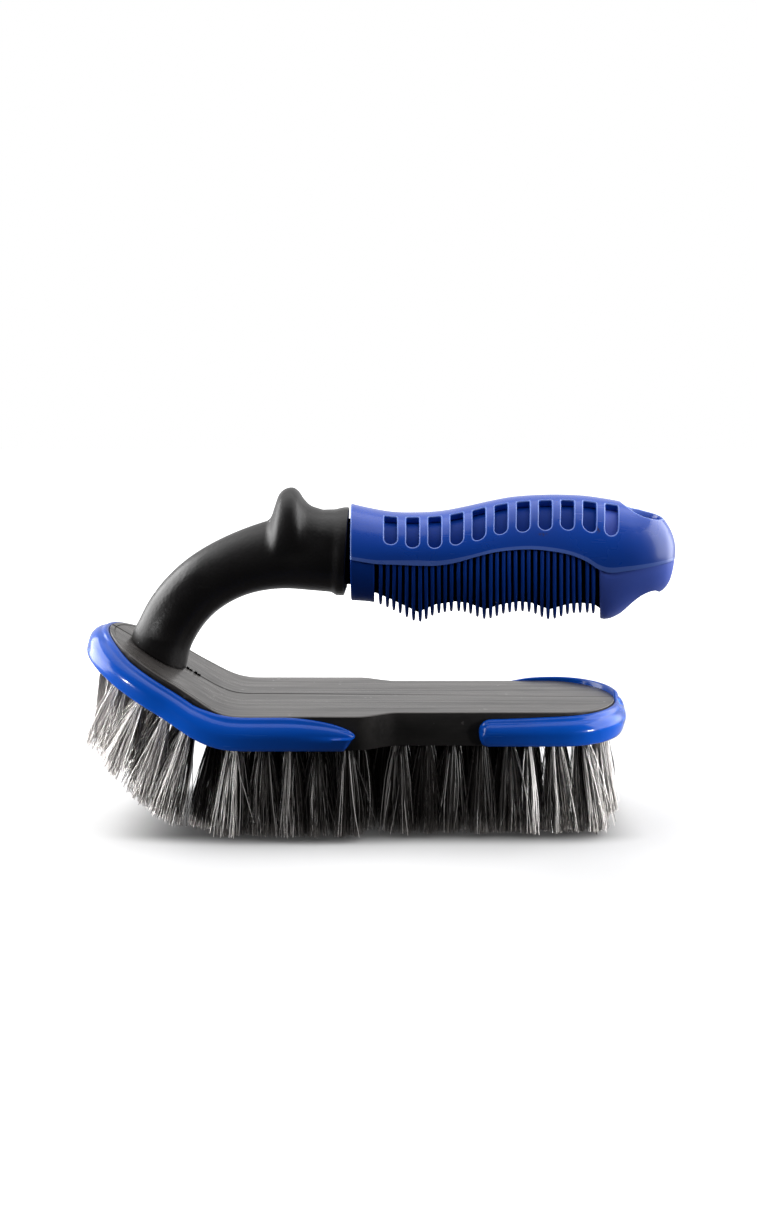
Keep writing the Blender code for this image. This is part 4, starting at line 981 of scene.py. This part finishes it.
def rib_points(x, steps=44):
    """Points of one rib: a closed section of half widths and depths, swept down and up again."""
    blade, tooth = np.array(BLADE), np.array(TOOTH)
    edges = [parting_angle(swept(x, side * HALF, AXIS), -0.0002) for side in (-1, 1)]
    wobble = np.random.default_rng(int(x * 1e5) + 50).normal(0, 0.00007, 3)
    rings = []
    for s in np.linspace(-1, 1, steps):
        angle = -math.pi / 2 + s * (math.pi / 2 + edges[int(s > 0)])
        narrow = 1 - ease(abs(s), 0.25, 0.35)
        half = (blade[:, 0] + (tooth[:, 0] - blade[:, 0]) * narrow) * 0.001
        thick = np.r_[half, -half[::-1]]
        inset = 0.0004 + np.r_[blade[:, 1], blade[::-1, 1]] * CORE_DEPTH
        sway = wobble[0] + wobble[1] * s + wobble[2] * math.cos(3 * s)
        skin = np.array([on_skin(x, angle, d) for d in inset])
        place = swept(x, skin[:, 1], skin[:, 2])
        skin = np.array([on_skin(at, angle, d) for at, d in zip(place, inset)])
        skin[:, 0] = place + thick + sway
        rings.append(skin)
    return np.array(rings)


drawn = rib_points(RIB_FIRST)
first_rib = rolled("rib", drawn)
finder = KDTree(drawn.size // 3)
for i, co in enumerate(drawn.reshape(-1, 3)):
    finder.insert(co, i)
finder.balance()
index = [finder.find(co)[1] for co in points(first_rib)]
ribs = [first_rib]
for x in (RIB_FIRST + (RIB_LAST - RIB_FIRST) * i / (RIBS - 1) for i in range(1, RIBS)):
    blade = hang_in(first_rib.copy())
    blade.data = first_rib.data.copy()
    place_points(blade, rib_points(x).reshape(-1, 3)[index])
    ribs.append(blade)

sleeve = join(front_block, arch(), *ribs)
smooth_by(sleeve, 50)
print("sleeve faces:", len(sleeve.data.polygons))

# %% [markdown]
# The hanging hole also goes down through the end block. Here the block is cut by an upright oval
# bar, and its far wall is what shows blue behind the mouth of the hole.

# %% Bore the end block
let_go()
bpy.ops.mesh.primitive_cylinder_add(vertices=HOLE_SIDES, radius=1, depth=0.08,
                                    location=(HOLE_X, HOLE_Y, AXIS), scale=(HOLE_LONG, HOLE_HALF, 1))
settle()
cut_away(end_block, name_it("bar"))
smooth_by(end_block, 40)
print("end block faces:", len(end_block.data.polygons))

# %% [markdown]
# The filaments are set in tufts. One filament is modelled as a thin three-sided cone with a few
# cuts along it. Each copy gets its own root in the tuft's hole, its own lean and bow, and a tip
# near the trimmed surface. Two numbers ride along as attributes for the finish: how pale this
# filament is, and how far along it a point lies.

# %% Trim surface and tuft places
FIELDS, PITCH, ROW, EDGE = 10, 0.0092, 0.0084, 0.0036
SCREW_OFF, SCREW_CLEAR = 0.0044, 0.0048
NOSE_TRIM, NOSE_CURVE, TAIL_TRIM, TAIL_CURVE = -0.0540, 0.0308, 0.0745, 0.0080


def field_limits():
    return np.r_[[-NOSE_REACH], np.linspace(-FOOT, TAIL_REACH, FIELDS)]


def trim_height(x):
    """The tips stand level, and rise towards the nose and the tail."""
    past, beyond = np.maximum(NOSE_TRIM - x, 0), np.maximum(x - TAIL_TRIM, 0)
    return past ** 2 / (2 * NOSE_CURVE) + beyond ** 2 / (2 * TAIL_CURVE)


def tufts():
    inset = side_line(-EDGE)[0]
    low_end, high_end = EDGE * 1.35 - NOSE_REACH, TAIL_REACH - EDGE * 1.35
    places = []
    limits = field_limits()
    for f in range(FIELDS):
        low_x, high_x = limits[f], limits[f + 1]
        count = max(round((high_x - low_x) / PITCH), 1)
        for i in range(count):
            x = min(max(low_x + (high_x - low_x) * (i + 0.5) / count, low_end), high_end)
            half = np.interp(x, inset[:, 0], inset[:, 1])
            rows = max(int(2 * half / ROW), 1)
            outer = ease(abs(x), 0.043 if x > 0 else 0.050, 0.010)
            stagger = PITCH / 4 * (1 - outer)
            for row in range(rows + 1):
                y = -half + 2 * half * row / rows
                at = x + stagger * (1 if row % 2 == 0 else -1) + outer * (y + half) * x / 0.40
                at = min(max(at, low_end), high_end)
                by_screw = any(math.hypot(at + FOOT + s, y) <= SCREW_CLEAR for s in (-SCREW_OFF, SCREW_OFF))
                if abs(y) < np.interp(at, inset[:, 0], inset[:, 1]) + 0.0004 and not by_screw:
                    places.append((f, at, y))
    return places


TUFTS = tufts()
print("tufts:", len(TUFTS))

# %% One filament, and its copies
let_go()
bpy.ops.mesh.primitive_cone_add(vertices=3, radius1=1, radius2=0.55, depth=1, location=(0, 0, 0.5),
                                end_fill_type="NGON")
settle()
strand = name_it("filament")
slice_up(strand, (0.2, 0.42, 0.62, 0.82), (0, 0, 1))
strand_points = points(strand)
strand_faces = [list(face.vertices) for face in strand.data.polygons]
bpy.data.objects.remove(strand)
print("one filament:", len(strand_points), "points,", len(strand_faces), "faces")

LEAN = ((-0.0997, 25.0), (-0.0850, 23.0), (-0.0700, 20.5), (-0.0620, 17.0), (-0.0550, 11.5), (-0.0480, 5.0),
        (-0.0400, 0.5), (-0.0300, 0.0), (0.0400, 0.0), (0.0560, -5.0), (0.0700, -8.0), (0.0823, -9.0))
LOCKS, TUFT_RADIUS, SPREAD_ALONG, SPREAD_ACROSS, SIDE_LEAN = 16, 0.0021, 0.0056, 0.0048, 4
NOSE_LIMIT, TAIL_LIMIT, SIDE_LIMIT, THIN, STOUT = -0.0975, 0.0830, 0.0318, 0.00013, 0.00024


def filaments(x, y, count, seed):
    """Points of all filaments of one tuft, which cling together in locks, with their paleness, raised towards
    the nose and the tail as painted light.
    """
    dice = np.random.default_rng(seed)
    root = bent(np.array([x, y, PLATE_TOP - THICK + 0.0006]))
    past = max(-BEND_START - x, 0)
    side = math.radians(SIDE_LEAN) * y / WIDE_HALF
    lean = np.array([-math.tan(math.radians(curve(LEAN, x))), math.tan(side), -1.0])
    r, a = np.sqrt(dice.random(LOCKS)), dice.random(LOCKS) * math.tau
    lock = dice.integers(0, LOCKS, count)
    disc = np.stack([r * np.cos(a), r * np.sin(a)], 1)[lock] + dice.normal(0, 0.15, (count, 2))
    narrow = 1 - 0.17 * ease(-x, 0.050, 0.012)
    start = root + np.c_[disc * TUFT_RADIUS * narrow, np.zeros(count)]
    start[:, 2] = root[2] - disc[:, 0] * TUFT_RADIUS * narrow * math.tan(NOSE_ANGLE if past > 0.006 else 0)
    open_row = 1 - 0.28 * ease(abs(x), 0.040, 0.014) * (y > -0.012)
    fan = disc * np.array([SPREAD_ALONG * open_row * narrow, SPREAD_ACROSS])
    fan = fan + dice.normal(0, 0.0008, (count, 2))
    stray = dice.random(count) < 0.03
    fan += stray[:, None] * dice.normal(0, 0.0034, (count, 2))
    length = root[2] - trim_height(root[0] + lean[0] * root[2])
    for _ in range(6):
        length = root[2] - trim_height(root[0] + lean[0] * length)
    end = root + lean * length + np.c_[fan, np.zeros(count)]
    spill = np.minimum(end[:, 0] - NOSE_LIMIT, 0) + np.maximum(end[:, 0] - TAIL_LIMIT, 0)
    end[:, 0] -= spill * (0.75 + 0.15 * dice.random(count))
    end[:, 1] = np.clip(end[:, 1], -SIDE_LIMIT, SIDE_LIMIT)
    short = np.abs(dice.normal(0, 0.00040, count)) + (dice.random(count) < 0.06) * dice.random(count) * 0.005
    short += 0.17 * np.maximum(np.abs(end[:, 1]) - 0.0180, 0)
    end[:, 2] = np.maximum(trim_height(end[:, 0]) + short, 0.0001)
    t = strand_points[:, 2]
    bow = dice.normal(0, 0.0005, (count, 2))
    bow += disc * 0.0004
    curl = dice.normal(0, 0.00016, (count, 2))
    line = start[:, None] * (1 - t)[None, :, None] + end[:, None] * t[None, :, None]
    line[:, :, :2] += bow[:, None] * (4 * t * (1 - t))[None, :, None]
    line[:, :, :2] += curl[:, None] * np.sin(t * 9.0 + 2)[None, :, None] * t[None, :, None]
    turn_by = dice.random(count) * math.tau
    thick = dice.uniform(THIN, STOUT, count)
    c, s = np.cos(turn_by)[:, None], np.sin(turn_by)[:, None]
    px, py = strand_points[:, 0][None], strand_points[:, 1][None]
    line[:, :, 0] += (px * c - py * s) * thick[:, None]
    line[:, :, 1] += (px * s + py * c) * thick[:, None]
    # Towards the nose and the tail more filaments are pale: painted light on the two ends.
    painted_end_light = ease(-x, 0.045, 0.040) + ease(x, 0.050, 0.030)
    pale_lock = (dice.random(LOCKS) < 0.03 + 0.76 * painted_end_light)[lock]
    alone = dice.random(count) < 0.09 + 0.64 * painted_end_light
    is_pale = np.where(dice.random(count) < 0.8, pale_lock, False) | alone
    dull = dice.beta(1.2, 9.0, count) + 0.22 * painted_end_light * dice.random(count)
    pale = np.where(is_pale, dice.uniform(0.40 + 0.2 * painted_end_light, 1.0, count), dull)
    return line, np.repeat(pale, len(t)), np.tile(t, count)


# %% Ten fields of bristles with their backing
def bristle_field(f, per_tuft):
    limits = field_limits()
    backing = plate_slab("backing", -0.0021, PLATE_TOP - THICK, PLATE_TOP - THICK + 0.0014)
    edit(backing)
    for value, sign in ((limits[f] + 0.00015, 1), (limits[f + 1] - 0.00015, -1)):
        bpy.ops.mesh.select_all(action="SELECT")
        bpy.ops.mesh.bisect(plane_co=(value, 0, 0), plane_no=(sign, 0, 0), use_fill=True, clear_inner=True)
    done()
    slice_up(backing, -BEND_START - np.linspace(-0.0020, 0.0140, 8))
    place_points(backing, bent(points(backing)))
    lines, pales, alongs = [], [], []
    for n, (field, x, y) in enumerate(TUFTS):
        if field == f:
            line, pale, along = filaments(x, y, per_tuft, 100 + n)
            lines.append(line.reshape(-1, 3))
            pales.append(pale)
            alongs.append(along)
    co = np.concatenate(lines)
    step = len(strand_points)
    faces = [[v + k * step for v in face] for k in range(len(co) // step) for face in strand_faces]
    mesh = bpy.data.meshes.new(f"bristle_field_{f + 1:02d}")
    mesh.from_pydata(co, [], faces)
    for name, values in (("pale", pales), ("along", alongs)):
        values = np.concatenate(values).astype(np.float32)
        mesh.attributes.new(name, "FLOAT", "POINT").data.foreach_set("value", values)
    piece = hang_in(bpy.data.objects.new(mesh.name, mesh))
    piece.data.materials.append(bristle_grey)
    backing.data.materials.append(plate_black)
    return join(piece, backing)


# %% [markdown]
# The filaments are dark grey with split, paler tips, and some are pale over their whole length;
# more are pale towards the nose and the tail, as painted light on the two ends.
# Their finish reads the two attributes, so that every filament keeps one tone from root to tip.

# %% Bristle finish
bristle_grey = bpy.data.materials.new("split filaments")
bristle_grey.use_nodes = True
tree, shader, _ = shader_of(bristle_grey)
pale, along = (source(tree, "Attribute", attribute_name=name)["Fac"] for name in ("pale", "along"))
tone = mixed(ranged(pale, 0.10, 0.9, 0, 1), (0.018, 0.0155, 0.014), (0.72, 0.69, 0.67))
worn = mixed(ranged(along, 0.80, 1.0, 0, 0.22), tone, (0.36, 0.33, 0.31))
feed(shader, {"Base Color": worn, "Roughness": ranged(pale, 0, 1, 0.32, 0.5)})
PER_TUFT = 230
fields = [bristle_field(f, PER_TUFT) for f in range(FIELDS)]
print("bristle triangles:", sum(len(f.data.polygons) * 2 for f in fields))

# %% [markdown]
# Everything now gets its finish, moves by the one common shift, and rides on the brush's single
# body. The handle core and the two hidden screws keep their solids and only change finish.

# %% Finishes, places and bodies
steel = plastic("zinc steel", (0.55, 0.55, 0.56), (0.48, 0.48, 0.50), (0.28, 0.38),
                (900, 0.00001), (400, 0.02))
shader_of(steel)[1].inputs["Metallic"].default_value = 1.0
dressed = [(head, plate_top, "head_plastic"), (neck, neck_black, "neck_plastic"),
           (front_bumper, bumper_blue, "bumper_rubber"), (rear_bumper, bumper_blue, "bumper_rubber"),
           (cover, cover_blue, "cover_plastic"), (sleeve, sleeve_blue, "sleeve_plastic"),
           (end_block, painted_lit_sleeve_blue, "sleeve_plastic")]
dressed += [(field, None, "bristle") for field in fields]
for piece, material, slot in dressed:
    take(piece)
    if material:
        piece.data.materials.clear()
        piece.data.materials.append(material)
    piece.data.transform(Matrix.Translation((SHIFT, 0, 0)))
    node_name = piece.name.split(".")[0]
    piece.name = "looks_" + node_name
    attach(piece, "root")
    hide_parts(node_name)
for name, material in (("handle_core", core_black), ("neck_screw_front", steel), ("neck_screw_rear", steel)):
    nodes[name].data.materials.clear()
    nodes[name].data.materials.append(material)
print("dressed pieces:", len(dressed))

# %% [markdown]
# The camera looks straight at the side of the brush, ten degrees downwards, as the photographer
# did. A lens of 55.6 mm on a 36 mm sensor gives the same size in the frame.

# %% Camera
camera = hang_in(bpy.data.objects.new("camera", bpy.data.cameras.new("camera")))
camera.data.sensor_fit, camera.data.sensor_width, camera.data.lens = "HORIZONTAL", 36, 55.64
camera.location = (SHIFT, -0.4009, 0.1461)
camera.rotation_euler = (math.radians(80), 0, 0)
camera.data.clip_start = 0.01
bpy.context.scene.camera = camera

# %% [markdown]
# The light is a wide soft box above and one on each side, a little behind the brush, and little
# light from the camera's side: that keeps the black plastics black and gives the blue ones their
# long soft highlights. Two small lamps in front, lower than the plate, reach only the two ends.
# The background is white only to the camera and in reflections.

# %% Light and background
def soft_box(name, place, size, power, aim=(0, 0, 0.06), spread=180):
    light = bpy.data.lights.new(name, "AREA")
    light.shape, light.size, light.size_y, light.energy = "RECTANGLE", size[0], size[1], power
    light.spread = math.radians(spread)
    lamp = hang_in(bpy.data.objects.new(name, light))
    lamp.location = place
    lamp.rotation_euler = (Vector(aim) - Vector(place)).to_track_quat("-Z", "Y").to_euler()


soft_box("top box", (0.0, 0.05, 0.90), (1.4, 0.9), 4.6)
soft_box("left box", (-0.45, 0.07, 0.17), (0.46, 0.46), 4.1)
soft_box("right box", (0.50, 0.02, 0.20), (0.60, 0.60), 4.4)
soft_box("left key", (-0.34, -0.20, 0.024), (0.08, 0.036), 0.110, (-0.135, -0.01, 0.012), 24)
soft_box("right key", (0.34, -0.20, 0.020), (0.08, 0.030), 0.070, (0.132, -0.01, 0.010), 24)


def bare_tree(owner):
    """An empty tree, and masks of the camera's rays and of those that mirror or pass through."""
    owner.use_nodes = True
    owner.node_tree.nodes.clear()
    ray = source(owner.node_tree, "LightPath")
    mirror = maths("MAXIMUM", ray["Is Glossy Ray"], ray["Is Transmission Ray"])
    return owner.node_tree, ray["Is Camera Ray"], mirror


world = bpy.data.worlds.new("studio")
bpy.context.scene.world = world
tree, direct, mirror = bare_tree(world)
split = axes(source(tree, "TexCoord")["Generated"])
sweep = mixed(ranged(split["Y"], -0.20, 0.35, 0, 1), (0.03, 0.03, 0.032), (1, 1, 1))
lift = plus(times(split["Z"], 0.8), times(split["Y"], 0.6))
soft = mixed(ranged(lift, -0.35, 0.75, 0, 1), (0.05, 0.05, 0.052), (0.85, 0.85, 0.86))
seen = mixed(direct, mixed(mirror, soft, sweep), (1, 1, 1))
node("OutputWorld", {"Surface": node("Background", {"Color": seen}).outputs[0]})

# %% [markdown]
# The floor is a sheet of white paper. Close to the brush it is a diffuse white surface, so the
# shadow falls on it; a painted shadow darkens its colour where the bristles touch it, and painted
# shade makes it a little darker towards the two ends. Further out it slowly becomes pure white, so
# that no horizon shows. What the brush mirrors of it is dark on the camera's side, like a studio
# whose lamps stand behind.

# %% Floor
let_go()
bpy.ops.mesh.primitive_plane_add(size=6, location=(0, 0, -0.0002))
settle()
floor = name_it("floor")
paper = bpy.data.materials.new("white floor")
paper.cycles.emission_sampling = "NONE"
tree, direct, mirror = bare_tree(paper)
place = source(tree, "TexCoord")["Object"]
foot = vector("ABSOLUTE", place)
outside = vector("MAXIMUM", vector("SUBTRACT", foot, (0.062, 0.0215, 0.0)), (0, 0, 0))
near = vector("LENGTH", vector("MULTIPLY", outside, (0.35, 1.0, 0.0)))
# A painted contact shadow: the paper's colour is darkened round the footprint of the bristles.
painted_contact_shadow = times(ranged(near, 0.0, 0.0115, 0.20, 1.0), ranged(near, 0.0, 0.026, 0.88, 1.0))
# Painted shade: the paper's colour is made darker towards the two ends.
level = ranged(axes(foot)["X"], 0.0, 0.075, 0.80, 0.62)
paper_with_painted_shade = mixed(times(level, painted_contact_shadow), (0, 0, 0), (1, 1, 1))
fade = ranged(vector("LENGTH", place), 0.13, 0.34, 0.03, 1.0)
seen = node("AddShader", {0: node("BsdfDiffuse", {"Color": paper_with_painted_shade}).outputs[0],
                          1: node("Emission", {"Strength": fade}).outputs[0]})
mirrored = ranged(axes(place)["Y"], -0.08, 0.12, 0.03, 0.8)
spread = times(minus(1.0, mirror), 0.09)
strength = plus(times(mirror, mirrored), spread)
bounce = node("Emission", {"Strength": strength})
sheet = node("MixShader", {0: direct, 1: bounce.outputs[0], 2: seen.outputs[0]})
node("OutputMaterial", {"Surface": sheet.outputs[0]})
floor.data.materials.append(paper)
bpy.context.scene.view_settings.view_transform = "Standard"
